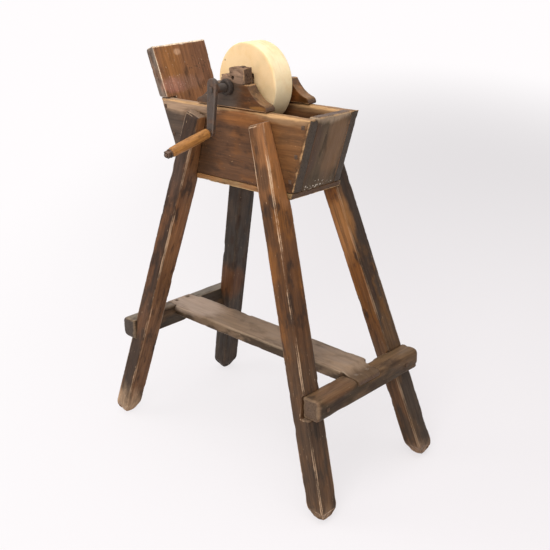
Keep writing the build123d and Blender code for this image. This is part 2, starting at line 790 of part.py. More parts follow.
with BuildPart() as crank_arm:
    with BuildSketch(CRANK_PLANE.offset(-ARM_T / 2)):
        with Locations((0, ARM_HEAD_RISE)):
            Circle(ARM_HEAD_R)
        with Locations((0, -ARM_R)):
            Circle(ARM_FOOT_R)
        make_hull()
    extrude(amount=ARM_T)
    chamfer(crank_arm.faces().filter_by(Axis.Y).edges(), ARM_CHAMFER)
    with BuildSketch(CRANK_PLANE.offset(-ARM_T)):
        Rectangle(TANG_SQUARE + 2 * SEAT_GAP, TANG_SQUARE + 2 * SEAT_GAP)
    extrude(amount=2 * ARM_T, mode=Mode.SUBTRACT)
    with BuildSketch(SPINDLE_PLANE.offset(-2 * ARM_T)):
        Circle(SPINDLE_R + SEAT_GAP)
    extrude(amount=3 * ARM_T, mode=Mode.SUBTRACT)


with BuildPart() as handle_spindle:
    with BuildSketch(SPINDLE_PLANE.offset(-ARM_T - SPINDLE_RIVET)):
        Circle(SPINDLE_R)
    extrude(
        amount=SPINDLE_RIVET
        + ARM_T
        + WASHER_START
        + GRIP_WASHER_T
        + SPINDLE_NUT_T
        + SPINDLE_TAIL
    )
    chamfer(handle_spindle.edges(), SPINDLE_CHAMFER)


with BuildPart() as handle_grip:
    with BuildSketch(GRIP_PROFILE_PLANE):
        # Half of the turned profile: X is the radius, and Y runs back along the spindle.
        with BuildLine():
            far = -(GRIP_START + GRIP_L)
            Line((SPINDLE_R + RUNNING_GAP, -GRIP_START), (GRIP_END_R, -GRIP_START))
            ThreePointArc(
                (GRIP_END_R, -GRIP_START),
                (GRIP_R, (far - GRIP_START) / 2),
                (GRIP_END_R, far),
            )
            Polyline(
                (GRIP_END_R, far),
                (SPINDLE_R + RUNNING_GAP, far),
                (SPINDLE_R + RUNNING_GAP, -GRIP_START),
            )
        make_face()
        groove_x = GRIP_R + GRIP_GROOVE_R - GRIP_GROOVE_DEPTH
        with Locations((groove_x, -GRIP_START - GRIP_GROOVE_AT)):
            Circle(GRIP_GROOVE_R, mode=Mode.SUBTRACT)
    revolve(axis=Axis(SPINDLE_PLANE.origin, SPINDLE_PLANE.z_dir))
    grip_ends = handle_grip.faces().filter_by(SPINDLE_PLANE).edges()
    chamfer(grip_ends.group_by(SortBy.RADIUS)[-1], GRIP_CHAMFER)


with BuildPart() as grip_washer:
    with BuildSketch(SPINDLE_PLANE.offset(WASHER_START)):
        Circle(GRIP_WASHER_R)
        Circle(SPINDLE_R + SEAT_GAP, mode=Mode.SUBTRACT)
    extrude(amount=GRIP_WASHER_T)


with BuildPart() as spindle_nut:
    with BuildSketch(SPINDLE_PLANE.offset(WASHER_START + GRIP_WASHER_T)):
        Rectangle(SPINDLE_NUT_SQUARE, SPINDLE_NUT_SQUARE)
        Circle(SPINDLE_R + SEAT_GAP, mode=Mode.SUBTRACT)
    extrude(amount=SPINDLE_NUT_T)
    nut_corners = spindle_nut.edges().filter_by(Axis((0, 0, 0), SPINDLE_PLANE.z_dir))
    chamfer(nut_corners, SPINDLE_NUT_CHAMFER)


# ---------------------------------------------------------------- nails
with BuildPart() as trough_nails:
    add(nails(TROUGH_NAILS, NAIL_SHANK, TROUGH_NAIL_L, NAIL_HEAD))

with BuildPart() as bottom_board_nails:
    add(nails(BASE_NAILS, NAIL_SHANK, BASE_NAIL_L, NAIL_HEAD))

with BuildPart() as leg_nails:
    for places in LEG_NAILS.values():
        add(nails(places, LEG_NAIL_SHANK, LEG_NAIL_L, LEG_NAIL_HEAD))

with BuildPart() as stretcher_nails:
    for places in STRETCHER_NAILS.values():
        add(nails(places, NAIL_SHANK, STRETCHER_NAIL_L, NAIL_HEAD))

with BuildPart() as lap_nails:
    for places in LAP_NAILS.values():
        add(nails(places, NAIL_SHANK, LAP_NAIL_L, NAIL_HEAD))

with BuildPart() as keeper_nails:
    for face in (-1, 1):
        add(nails([block_nail(face)], KEEPER_NAIL_SHANK, KEEPER_NAIL_L, KEEPER_NAIL_HEAD))


# ---------------------------------------------------------------- export
PIECES = {
    "front_side_board": front_side_board,
    "back_side_board": back_side_board,
    "right_end_board": right_end_board,
    "tall_end_board": tall_end_board,
    "bottom_board": bottom_board,
    "front_left_leg": front_left_leg,
    "front_right_leg": front_right_leg,
    "back_left_leg": back_left_leg,
    "back_right_leg": back_right_leg,
    "left_end_stretcher": left_end_stretcher,
    "right_end_stretcher": right_end_stretcher,
    "long_stretcher": long_stretcher,
    "front_bearing_block": front_bearing_block,
    "back_bearing_block": back_bearing_block,
    "front_bearing_shell": front_bearing_shell,
    "back_bearing_shell": back_bearing_shell,
    "front_keeper": front_keeper,
    "back_keeper": back_keeper,
    "axle": axle,
    "grindstone": grindstone,
    "upper_eye_wedge": upper_eye_wedge,
    "lower_eye_wedge": lower_eye_wedge,
    "left_eye_wedge": left_eye_wedge,
    "right_eye_wedge": right_eye_wedge,
    "front_flange": front_flange,
    "back_flange": back_flange,
    "flange_pins": flange_pins,
    "front_collar": front_collar,
    "back_collar": back_collar,
    "crank_arm": crank_arm,
    "handle_spindle": handle_spindle,
    "handle_grip": handle_grip,
    "grip_washer": grip_washer,
    "spindle_nut": spindle_nut,
    "trough_nails": trough_nails,
    "bottom_board_nails": bottom_board_nails,
    "leg_nails": leg_nails,
    "stretcher_nails": stretcher_nails,
    "lap_nails": lap_nails,
    "keeper_nails": keeper_nails,
}

# The origin goes under the middle of the whole object: the handle reaches further than the legs.
spans = [piece.part.bounding_box() for piece in PIECES.values()]
middle_y = (min(span.min.Y for span in spans) + max(span.max.Y for span in spans)) / 2

os.makedirs("parts", exist_ok=True)
for name, piece in PIECES.items():
    placed_part = piece.part.moved(Location((0, -middle_y, 0)))
    placed_part.label = name
    export_step(placed_part, f"parts/{name}.step")
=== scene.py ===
"""Looks of a hand-cranked grindstone that turns in a wooden water trough on a trestle stand.

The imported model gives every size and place. Each wooden, stone or forged piece is remade here as a
worn copy of its solid: an even mesh whose arrises are rounded, chipped and dented, in a finish of
its own.
"""

import json
import logging
import math
from dataclasses import dataclass, field
from enum import Enum

import bmesh
import bpy
from mathutils import Matrix, Vector, kdtree, noise
from mathutils.bvhtree import BVHTree

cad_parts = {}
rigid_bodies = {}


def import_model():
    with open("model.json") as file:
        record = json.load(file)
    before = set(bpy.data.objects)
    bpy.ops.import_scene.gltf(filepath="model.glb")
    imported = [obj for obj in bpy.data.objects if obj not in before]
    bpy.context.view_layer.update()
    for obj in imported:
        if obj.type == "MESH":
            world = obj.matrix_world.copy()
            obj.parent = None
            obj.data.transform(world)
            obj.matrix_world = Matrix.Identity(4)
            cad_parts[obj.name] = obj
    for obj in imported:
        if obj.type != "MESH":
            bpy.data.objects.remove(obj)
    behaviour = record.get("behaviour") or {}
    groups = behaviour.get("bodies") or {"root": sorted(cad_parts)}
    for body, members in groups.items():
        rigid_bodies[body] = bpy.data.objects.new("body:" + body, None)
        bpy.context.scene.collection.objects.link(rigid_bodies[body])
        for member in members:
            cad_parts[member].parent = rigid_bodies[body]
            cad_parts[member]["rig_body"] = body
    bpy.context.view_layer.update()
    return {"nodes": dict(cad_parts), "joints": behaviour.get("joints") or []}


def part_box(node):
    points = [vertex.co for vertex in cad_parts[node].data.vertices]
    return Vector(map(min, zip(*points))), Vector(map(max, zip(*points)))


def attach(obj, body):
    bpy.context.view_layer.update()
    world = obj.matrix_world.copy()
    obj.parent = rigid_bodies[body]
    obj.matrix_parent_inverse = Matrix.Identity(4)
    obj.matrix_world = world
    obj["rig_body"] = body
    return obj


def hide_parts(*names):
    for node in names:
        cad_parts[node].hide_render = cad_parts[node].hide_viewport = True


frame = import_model()

MM = 0.001
WELD = 1e-6  # metres; vertices closer than this are one
LOG = logging.getLogger("grindstone")

Tree = bpy.types.NodeTree
Socket = bpy.types.NodeSocket
Triple = tuple[float, float, float]
Span = tuple[float, float]  # the level of a pattern where a mark begins, and where it is full

ALONG_X: Triple = (1.0, 0.0, 0.0)
ALONG_Y: Triple = (0.0, 1.0, 0.0)
UPRIGHT: Triple = (0.0, 0.0, 1.0)


class Slot(Enum):
    """The record's material slots."""

    TROUGH = "trough_wood"
    DARK_END = "dark_end_wood"
    LEG = "leg_wood"
    STRETCHER = "stretcher_wood"
    BLOCK = "block_wood"
    KEEPER = "keeper_wood"
    STONE = "sandstone"
    IRON = "iron"
    GRIP = "grip_wood"


class Axis(Enum):
    """An axis of the row frame."""

    X = 0
    Y = 1
    Z = 2


# ---------------------------------------------------------------- small helpers
def linear(colour: str) -> tuple[float, float, float, float]:
    """Turn an sRGB hex value into linear light.

    Args:
        colour: The colour as "#rrggbb".

    Returns:
        Red, green, blue and an alpha of 1.
    """
    channels = [int(colour[place : place + 2], 16) / 255 for place in (1, 3, 5)]
    levels = [c / 12.92 if c <= 0.04045 else ((c + 0.055) / 1.055) ** 2.4 for c in channels]
    return (*levels, 1.0)


def empty_tree(owner: bpy.types.Material | bpy.types.World) -> Tree:
    """Give a material or world an empty node tree.

    Args:
        owner: The material or world.

    Returns:
        Its node tree.
    """
    owner.use_nodes = True
    owner.node_tree.nodes.clear()
    return owner.node_tree


def add_node(
    tree: Tree, kind: str, inputs: dict[str | int, object] | None = None, **settings: object
) -> bpy.types.Node:
    """Add a node with its settings and links.

    Args:
        tree: The node tree that gets the node.
        kind: The node's type name.
        inputs: A socket to link or a value to set, for each input.
        settings: The node's own properties.

    Returns:
        The new node.
    """
    node = tree.nodes.new(kind)
    for name, value in settings.items():
        setattr(node, name, value)
    for socket, value in (inputs or {}).items():
        if isinstance(value, Socket):
            tree.links.new(value, node.inputs[socket])
        else:
            node.inputs[socket].default_value = value
    return node


def lay_over(
    tree: Tree, below: Socket | tuple, above: Socket | tuple, pattern: Socket, span: Span,
    amount: float,
) -> Socket:
    """Lay one colour over another where a pattern is strong.

    Args:
        tree: The material's node tree.
        below: The colour underneath.
        above: The colour laid over it.
        pattern: What the upper colour follows.
        span: The pattern's levels where the upper colour begins, and where it is laid on in full.
        amount: How much of the lower colour it hides there.

    Returns:
        The mixed colour.
    """
    mask = add_node(
        tree,
        "ShaderNodeMapRange",
        {"Value": pattern, "From Min": span[0], "From Max": span[1], "To Max": amount},
        interpolation_type="SMOOTHSTEP",
    )
    return add_node(
        tree, "ShaderNodeMix", {0: mask.outputs[0], 6: below, 7: above}, data_type="RGBA"
    ).outputs[2]


def smoothstep(low: float, high: float, value: float) -> float:
    """Blend smoothly from 0 at low to 1 at high, which may be the smaller one."""
    share = min(1.0, max(0.0, (value - low) / (high - low)))
    return share * share * (3 - 2 * share)


def share_of(level: float) -> float:
    """Turn a noise level between -1 and 1 into a share between 0 and 1."""
    return 0.5 + 0.5 * level


def grain_turn(grain: Vector) -> Matrix:
    """Give the rotation that lays a direction of the row frame along Z."""
    return grain.to_track_quat("Z", "Y").to_matrix().transposed()


def put_in_scene(name: str, data: bpy.types.ID) -> bpy.types.Object:
    """Make an object of a mesh, a lamp or a camera.

    Args:
        name: The object's name.
        data: What it shows.

    Returns:
        The object, linked to the scene.
    """
    made = bpy.data.objects.new(name, data)
    bpy.context.scene.collection.objects.link(made)
    return made


def welded(data: bpy.types.Mesh) -> bmesh.types.BMesh:
    """Open a solid's loose triangles with their doubles merged.

    Args:
        data: The mesh, which stays as it is.

    Returns:
        The merged mesh, to be freed after use.
    """
    bm = bmesh.new()
    bm.from_mesh(data)
    bmesh.ops.remove_doubles(bm, verts=bm.verts, dist=WELD)
    return bm


# ---------------------------------------------------------------- wear
@dataclass(frozen=True)
class Wear:
    """What years of use did to a wooden piece, in millimetres.

    Depths are cut into the surface, so a worn piece never leaves the space of its solid. A span
    holds the noise levels between -1 and 1 where a mark begins and where it is full.
    """

    mesh: float = 2.0  # spacing of the even mesh
    rounding: int = 2  # smoothing passes, each about a third of the spacing
    ridge: float = 0.22  # hollows between the raised latewood lines
    ridge_width: float = 5.0
    dent: float = 0.55
    dent_width: float = 34.0
    dent_squeeze: float = 0.55  # along the grain, which makes dents longer than they are wide
    dent_span: Span = (0.12, 0.6)
    chip: float = 1.3  # along the arrises
    chip_width: float = 15.0
    chip_squeeze: float = 0.45
    chip_span: Span = (0.2, 0.6)
    chip_mix: Span = (1.5, 0.5)  # how much of a chip is the wide kind, and how much the small kind
    small_chip: float = 0.35  # a small chip's width, as a share of a wide one's
    reach: float = 5.5  # how far from an arris the chips go
    line: float = 5.5  # how far from an arris the wood can be rubbed bare
    softening: float = 0.4  # how far the arrises are worn down all along
    stretch: float = 12.0  # how much longer than wide the marks are, along the grain
    seed: float = 0.0
    seed_steps: Triple = (13.7, 7.1, 29.3)  # how far a seed moves the marks

    def depth(self, place: Vector, nearness: float) -> float:
        """Work out how deep the surface is worn.

        Args:
            place: The point in millimetres, with Z along the grain.
            nearness: 1 on an arris, down to 0 away from it.

        Returns:
            The depth in millimetres.
        """
        shift = Vector([self.seed * step for step in self.seed_steps])
        along = Vector((1, 1, 1 / self.stretch))
        long_dents = Vector((1, 1, self.dent_squeeze))
        long_chips = Vector((1, 1, self.chip_squeeze))
        ridges = noise.noise((place * along) / self.ridge_width + shift)
        dents = noise.noise((place * long_dents) / self.dent_width - shift)
        chips = noise.noise((place * long_chips) / self.chip_width + shift * 2)
        small = noise.noise(place / (self.chip_width * self.small_chip) + shift * 3)
        depth = self.ridge * share_of(ridges)
        depth += self.dent * smoothstep(*self.dent_span, dents)
        depth += self.softening * nearness * nearness
        depth += self.chip * nearness * (
            self.chip_mix[0] * smoothstep(*self.chip_span, chips)
            + self.chip_mix[1] * smoothstep(*self.chip_span, small)
        )
        return depth


@dataclass(frozen=True)
class FootWear(Wear):
    """A post that was dragged and stood on for years, so its foot is rounded like a peg."""

    foot: Vector = Vector()  # the middle of the foot on the floor, with Z along the grain
    up: Vector = Vector((0, 0, 1))  # the upright direction, with Z along the grain
    tread: float = 12.0  # how much of the corners is gone at the floor
    tread_span: Span = (36.0, -6.0)  # heights where the corners begin to go, and would all be gone
    foot_radius: float = 30.0

    def depth(self, place: Vector, nearness: float) -> float:
        """Add the lost corners to the usual wear.

        Args:
            place: The point in millimetres, with Z along the grain.
            nearness: 1 on an arris, down to 0 away from it.

        Returns:
            The depth in millimetres.
        """
        low = smoothstep(*self.tread_span, place.dot(self.up))
        outward = min(1.0, (place - self.foot).xy.length / self.foot_radius) ** 2
        return super().depth(place, nearness) + self.tread * low * outward


@dataclass(frozen=True)
class StoneWear(Wear):
    """A sandstone wheel trued by use: faint grooves round its rim, and bruised corners."""

    centre: Vector = Vector()  # on the axle, in millimetres
    radius: float = 83.0
    rim_span: Span = (0.93, 0.99)  # shares of the radius where the side gives way to the rim
    groove: float = 0.3
    groove_width: float = 3.4
    groove_drift: float = 0.5  # how far a groove wanders on its way round
    flats: float = 1.6  # how close together the rim's flat spots are
    flats_seed: float = 4.0  # keeps them clear of the grooves' noise
    grit_width: float = 2.4
    chip_span: Span = (0.1, 0.55)
    chip_mix: Span = (0.35, 1.4)  # the loss all along a corner, and the chips'

    def depth(self, place: Vector, nearness: float) -> float:
        """Work out how deep the stone is worn at a point.

        Args:
            place: The point in millimetres, with Z along the axle.
            nearness: 1 on a corner, down to 0 away from it.

        Returns:
            The depth in millimetres.
        """
        radial = place - self.centre
        across = radial.z
        radial.z = 0.0
        turn = math.atan2(radial.y, radial.x)
        rim = smoothstep(*self.rim_span, radial.length / self.radius)
        rings = noise.noise(
            Vector((across / self.groove_width, self.groove_drift * math.cos(turn), self.seed))
        )
        chips = noise.noise(place / self.chip_width + Vector((self.seed, 0, 0)))
        grit = noise.noise(place / self.grit_width)
        flats = noise.noise(
            Vector((math.cos(turn) * self.flats, math.sin(turn) * self.flats,
                    self.seed + self.flats_seed))
        )
        depth = rim * (self.groove * share_of(rings) + self.dent * share_of(flats))
        depth += self.ridge * share_of(grit)
        depth += self.chip * nearness * (
            self.chip_mix[0] + self.chip_mix[1] * smoothstep(*self.chip_span, chips)
        )
        return depth


@dataclass(frozen=True)
class ForgedWear(Wear):
    """Hammer marks and rust pits in wrought iron."""

    dent_squeeze: float = 0.5
    pit_span: Span = (0.1, 0.6)
    chip_span: Span = (-0.2, 0.5)
    chip_mix: Span = (0.4, 0.6)  # the loss all along an arris, and the hammer's
    seed_steps: Triple = (5.3, 0.0, 2.9)

    def depth(self, place: Vector, nearness: float) -> float:
        """Work out how deep the hammer marks and pits are.

        Args:
            place: The point in millimetres, with Z along the grain.
            nearness: 1 on an arris, down to 0 away from it.

        Returns:
            The depth in millimetres.
        """
        shift = Vector([self.seed * step for step in self.seed_steps])
        long_blows = Vector((1, 1, self.dent_squeeze))
        blows = noise.noise((place * long_blows) / self.dent_width + shift)
        pits = noise.noise(place / self.ridge_width - shift)
        depth = self.dent * share_of(blows)
        depth += self.ridge * smoothstep(*self.pit_span, pits)
        depth += self.chip * nearness * (
            self.chip_mix[0] + self.chip_mix[1] * smoothstep(*self.chip_span, blows)
        )
        return depth


class Neighbours:
    """The surfaces of all the solids, to tell which arrises another solid covers."""

    touch: float = 0.8 * MM

    def __init__(self) -> None:
        """Gather every CAD node's faces in one tree."""
        places: list[Vector] = []
        faces: list[list[int]] = []
        self.owners: list[str] = []
        for name, node in frame["nodes"].items():
            first = len(places)
            places += [vertex.co.copy() for vertex in node.data.vertices]
            for polygon in node.data.polygons:
                faces.append([first + index for index in polygon.vertices])
                self.owners.append(name)
        self.tree = BVHTree.FromPolygons(places, faces)

    def cover(self, point: Vector, node: str) -> bool:
        """Tell whether another solid touches a node at a point.

        Args:
            point: The point in metres.
            node: The node that the point is on.

        Returns:
            True if another solid's surface is within touch.
        """
        return any(
            self.owners[hit[2]] != node for hit in self.tree.find_nearest_range(point, self.touch)
        )


@dataclass(frozen=True)
class WornCopy:
    """A worn copy of a solid.

    Its mesh carries two attributes for its finish: "arris", 1 on the worn arrises, and "hollow",
    how deep the surface is worn as a share of the deepest chip.
    """

    node: str
    wear: Wear
    grain: Vector  # its direction in the row frame
    neighbours: Neighbours
    arris_angle: float = math.radians(17)  # an edge sharper than this wears
    arris_spacing: float = 2 * MM
    shortest_arris: float = 8 * MM  # the rims of nail holes are shorter, and stay out
    far: float = 100 * MM  # stands for the distance where a solid has no open arris
    first_smoothing: float = 0.5
    last_smoothing: float = 0.25
    least_depth: float = 0.5  # what hollows are measured by on a piece with small chips

    def make(self) -> bpy.types.Object:
        """Make the copy and let it stand for the solid.

        Returns:
            The new piece, riding on the node's body.
        """
        node = self.node
        source = frame["nodes"][node]
        mesh = bpy.data.meshes.new(node)
        bm = welded(source.data)
        arrises = self._arrises(bm)
        bm.to_mesh(mesh)
        bm.free()
        piece = put_in_scene(f"worn_{node}", mesh)
        self._even_out(piece)
        self._wear_down(piece.data, arrises)
        body = source["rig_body"]
        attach(piece, body)
        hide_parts(node)
        return piece

    def _arrises(self, bm: bmesh.types.BMesh) -> kdtree.KDTree:
        """Gather points along the sharp outward edges that lie open to wear.

        Args:
            bm: The solid's welded mesh.

        Returns:
            A balanced tree of the points.
        """
        points = []
        for edge in bm.edges:
            if len(edge.link_faces) != 2 or not edge.is_convex:
                continue
            length = edge.calc_length()
            if edge.calc_face_angle(0) < self.arris_angle or length < self.shortest_arris:
                continue
            start, end = (vertex.co for vertex in edge.verts)
            steps = max(1, round(length / self.arris_spacing))
            along = [start.lerp(end, step / steps) for step in range(steps + 1)]
            points += [point for point in along if not self.neighbours.cover(point, self.node)]
        tree = kdtree.KDTree(max(1, len(points)))
        for index, point in enumerate(points):
            tree.insert(point, index)
        tree.balance()
        return tree

    def _even_out(self, piece: bpy.types.Object) -> None:
        """Rebuild a piece's mesh from small faces of one size.

        Args:
            piece: The copy, with the solid's mesh.
        """
        remesh = piece.modifiers.new("even mesh", "REMESH")
        remesh.mode = "VOXEL"
        remesh.voxel_size = self.wear.mesh * MM
        bpy.context.view_layer.update()
        evaluated = piece.evaluated_get(bpy.context.evaluated_depsgraph_get())
        even = bpy.data.meshes.new_from_object(evaluated)
        piece.modifiers.clear()
        piece.data = even
        even.name = piece.name

    def _wear_down(self, mesh: bpy.types.Mesh, arrises: kdtree.KDTree) -> None:
        """Round, dent and chip an even mesh, and keep how worn each point is.

        Args:
            mesh: The mesh that is worn.
            arrises: Points along the solid's open arrises.
        """
        bm = bmesh.new()
        bm.from_mesh(mesh)
        for _ in range(self.wear.rounding):
            self._smooth(bm, self.first_smoothing)
        bm.normal_update()
        turn = grain_turn(self.grain)
        lines = []
        depths = []
        for vertex in bm.verts:
            distance = arrises.find(vertex.co)[2]
            away = self.far if distance is None else distance
            nearness = max(0.0, 1 - away / (self.wear.reach * MM))
            lines.append(max(0.0, 1 - away / (self.wear.line * MM)))
            depths.append(self.wear.depth(turn @ vertex.co / MM, nearness))
        for vertex, depth in zip(bm.verts, depths):
            vertex.co -= vertex.normal * depth * MM
        self._smooth(bm, self.last_smoothing)
        bm.to_mesh(mesh)
        bm.free()
        deepest = max(self.least_depth, self.wear.chip)
        hollows = [depth / deepest for depth in depths]
        for name, values in (("arris", lines), ("hollow", hollows)):
            attribute = mesh.attributes.new(name, "FLOAT", "POINT")
            attribute.data.foreach_set("value", values)
        mesh.polygons.foreach_set("use_smooth", [True] * len(mesh.polygons))

    def _smooth(self, bm: bmesh.types.BMesh, factor: float) -> None:
        """Smooth every vertex once.

        Args:
            bm: The even mesh.
            factor: How far each vertex goes to its neighbours' middle.
        """
        bmesh.ops.smooth_vert(
            bm, verts=bm.verts, factor=factor, use_axis_x=True, use_axis_y=True, use_axis_z=True
        )


# ---------------------------------------------------------------- finishes
@dataclass(frozen=True)
class StainAndShade:
    """A region of another colour, for real stains and painted shade alike: an egg-shaped space in
    the row frame, in millimetres.
    """

    centre: Triple
    size: Triple
    colour: str
    strength: float = 0.7
    spots: float = 0.0  # width of separate spots, or 0 for an even stain


@dataclass(frozen=True)
class OldWood:
    """Softwood or hardwood that was oiled, handled and kept in a workshop for a century.

    The oil and dirt sank in unevenly, so warm and grimy patches lie over soft streaks of grain. The
    arrises are rubbed back to paler wood, and handling left a low waxy sheen. Widths are in
    millimetres, and spans are levels of the pattern that they belong to.
    """

    name: str
    face: str
    flank: str  # on faces across the flank axis
    grain: Triple
    flank_axis: Axis = Axis.X
    glow: str = "#8a5227"
    grime: str = "#33241a"
    end_grain: str = "#5b4535"
    worn: str = "#c39a6c"
    crack: str = "#1a110b"
    pore: str = "#20160f"
    fibre: float = 2.6  # width of the streaks; the real fibres are finer than can show
    streak: float = 9.0
    patch: float = 46.0
    smear: float = 0.5  # width of the smears, as a share of a patch
    speck: float = 3.4
    pore_width: float = 3.0  # drawn coarser than the real 0.3 mm, which can't show
    crack_spacing: float = 16.0
    crack_region: float = 50.0
    rub_width: float = 20.0
    contrast: float = 0.44
    glowing: float = 0.5
    grimy: float = 0.7
    grimy_hollows: float = 0.45
    rubbed: float = 0.8
    patchy: float = 1.5  # how broken the rubbed line is
    specks: float = 0.55
    cracks: float = 0.5
    cracks_hide: float = 0.9
    pores_hide: float = 0.7
    flank_span: Span = (0.45, 0.75)
    glow_span: Span = (0.46, 0.62)
    grime_span: Span = (0.5, 0.66)
    hollow_span: Span = (0.35, 1.0)
    stain_and_shade_span: Span = (1.95, 1.25)
    spot_span: Span = (0.46, 0.51)
    speck_span: Span = (0.68, 0.78)
    pore_span: Span = (0.45, 0.75)
    end_span: Span = (0.72, 0.9)
    crack_span: Span = (0.54, 0.62)
    crack_width: float = 0.008  # half the band of levels that is a crack
    rub_span: Span = (0.6, 1.0)
    rub_level: float = 0.1  # how far the rubbing goes past an arris's own line
    wax_span: Span = (0.35, 0.7)
    tone_span: Span = (0.15, 0.85)
    umber: Triple = (0.8, 0.83, 0.86)  # how much each of red, green and blue darkens
    straw: Triple = (0.8, 0.76, 0.68)  # and lightens
    ragged_edge: float = 1.3
    spots_fade: float = -0.16  # spots are fewer away from a stain's middle
    roughness: float = 0.5
    uneven_wax: Span = (-0.08, 0.16)  # around the roughness
    relief: float = 0.9
    relief_strength: float = 0.5
    crack_relief: float = -1.5
    ior: float = 1.48  # of dried oil
    specular: float = 0.2  # dust and dried oil dull it
    seed: float = 0.0
    seed_steps: Triple = (0.37, 0.11, 0.71)  # metres that a seed moves the pattern
    stains_and_shade: tuple[StainAndShade, ...] = ()

    def material(self) -> bpy.types.Material:
        """Build the material.

        Returns:
            A material with colour, roughness and bump from the wood's grain and wear.
        """
        made = bpy.data.materials.new(self.name)
        tree = empty_tree(made)
        where = add_node(tree, "ShaderNodeTexCoord")
        along = add_node(
            tree,
            "ShaderNodeMapping",
            {
                "Vector": where.outputs["Object"],
                "Rotation": grain_turn(Vector(self.grain)).to_euler(),
                "Location": [self.seed * step for step in self.seed_steps],
            },
        ).outputs[0]
        fibres = self._marks(tree, along, self.fibre, stretch=24, detail=3)
        streaks = self._marks(tree, along, self.streak, stretch=14, detail=3)
        patches = self._marks(tree, along, self.patch, stretch=2.2, detail=4)
        smears = self._marks(tree, along, self.patch * self.smear, stretch=2.6, detail=5)
        grime = linear(self.grime)
        colour = self._base(tree, where)
        colour = lay_over(
            tree, colour, linear(self.glow), patches, self.glow_span, self.glowing
        )
        colour = lay_over(tree, colour, grime, smears, self.grime_span, self.grimy)
        hollow = add_node(tree, "ShaderNodeAttribute", attribute_name="hollow").outputs["Fac"]
        colour = lay_over(tree, colour, grime, hollow, self.hollow_span, self.grimy_hollows)
        colour = self._lay_stains_and_shade(tree, where, colour, smears)
        specks = self._marks(tree, along, self.speck, stretch=3, detail=2)
        colour = lay_over(tree, colour, linear(self.worn), specks, self.speck_span, self.specks)
        tone = self._tone(tree, fibres, streaks)
        colour = self._shade(tree, colour, tone)
        colour = self._end_grain(tree, where, along, colour)
        cracks = self._cracks(tree, along)
        colour = lay_over(tree, colour, linear(self.crack), cracks, (0.0, 1.0), self.cracks_hide)
        rubbed = self._rubbed(tree, along)
        bare = self._shade(tree, linear(self.worn), tone)
        colour = lay_over(tree, colour, bare, rubbed, self.rub_span, self.rubbed)
        raised = add_node(
            tree, "ShaderNodeMath", {0: cracks, 1: self.crack_relief, 2: tone},
            operation="MULTIPLY_ADD",
        )
        bump = add_node(
            tree,
            "ShaderNodeBump",
            {"Height": raised.outputs[0], "Distance": self.relief * MM,
             "Strength": self.relief_strength},
        )
        waxed = add_node(
            tree,
            "ShaderNodeMapRange",
            {"Value": smears, "From Min": self.wax_span[0], "From Max": self.wax_span[1],
             "To Min": self.roughness + self.uneven_wax[0],
             "To Max": self.roughness + self.uneven_wax[1]},
        )
        shader = add_node(
            tree,
            "ShaderNodeBsdfPrincipled",
            {"Base Color": colour, "Roughness": waxed.outputs[0], "Normal": bump.outputs[0],
             "IOR": self.ior, "Specular IOR Level": self.specular},
        )
        add_node(tree, "ShaderNodeOutputMaterial", {"Surface": shader.outputs[0]})
        return made

    def _marks(
        self, tree: Tree, along: Socket, width: float, stretch: float, detail: float
    ) -> Socket:
        """Draw marks that are stretched along the grain.

        Args:
            tree: The material's node tree.
            along: The place, turned to the grain.
            width: How wide a mark is, in millimetres.
            stretch: How many times longer than wide it is.
            detail: How finely its edges are broken up.

        Returns:
            The marks, around a middle of 0.5.
        """
        drawn_out = add_node(
            tree, "ShaderNodeMapping", {"Vector": along, "Scale": (1, 1, 1 / stretch)}
        )
        return add_node(
            tree,
            "ShaderNodeTexNoise",
            {"Vector": drawn_out.outputs[0], "Scale": 1 / (width * MM), "Detail": detail,
             "Roughness": 0.6},
        ).outputs[0]

    def _tone(self, tree: Tree, fibres: Socket, streaks: Socket) -> Socket:
        """Add fibres to streaks.

        Args:
            tree: The material's node tree.
            fibres: The finest marks.
            streaks: The wider marks.

        Returns:
            Their sum, around a middle of 0.5.
        """
        fine = add_node(
            tree, "ShaderNodeMath", {0: fibres, 1: 0.8, 2: -0.5}, operation="MULTIPLY_ADD"
        )
        return add_node(
            tree, "ShaderNodeMath", {0: streaks, 1: 1.2, 2: fine.outputs[0]},
            operation="MULTIPLY_ADD",
        ).outputs[0]

    def _base(self, tree: Tree, where: bpy.types.Node) -> Socket:
        """Choose the colour by the way a face looks.

        Args:
            tree: The material's node tree.
            where: Its Texture Coordinate node.

        Returns:
            The face's or the flank's colour, with a soft change between them.
        """
        facing = add_node(tree, "ShaderNodeSeparateXYZ", {0: where.outputs["Normal"]})
        sideways = add_node(
            tree, "ShaderNodeMath", {0: facing.outputs[self.flank_axis.value]},
            operation="ABSOLUTE",
        ).outputs[0]
        return lay_over(
            tree, linear(self.face), linear(self.flank), sideways, self.flank_span, 1.0
        )

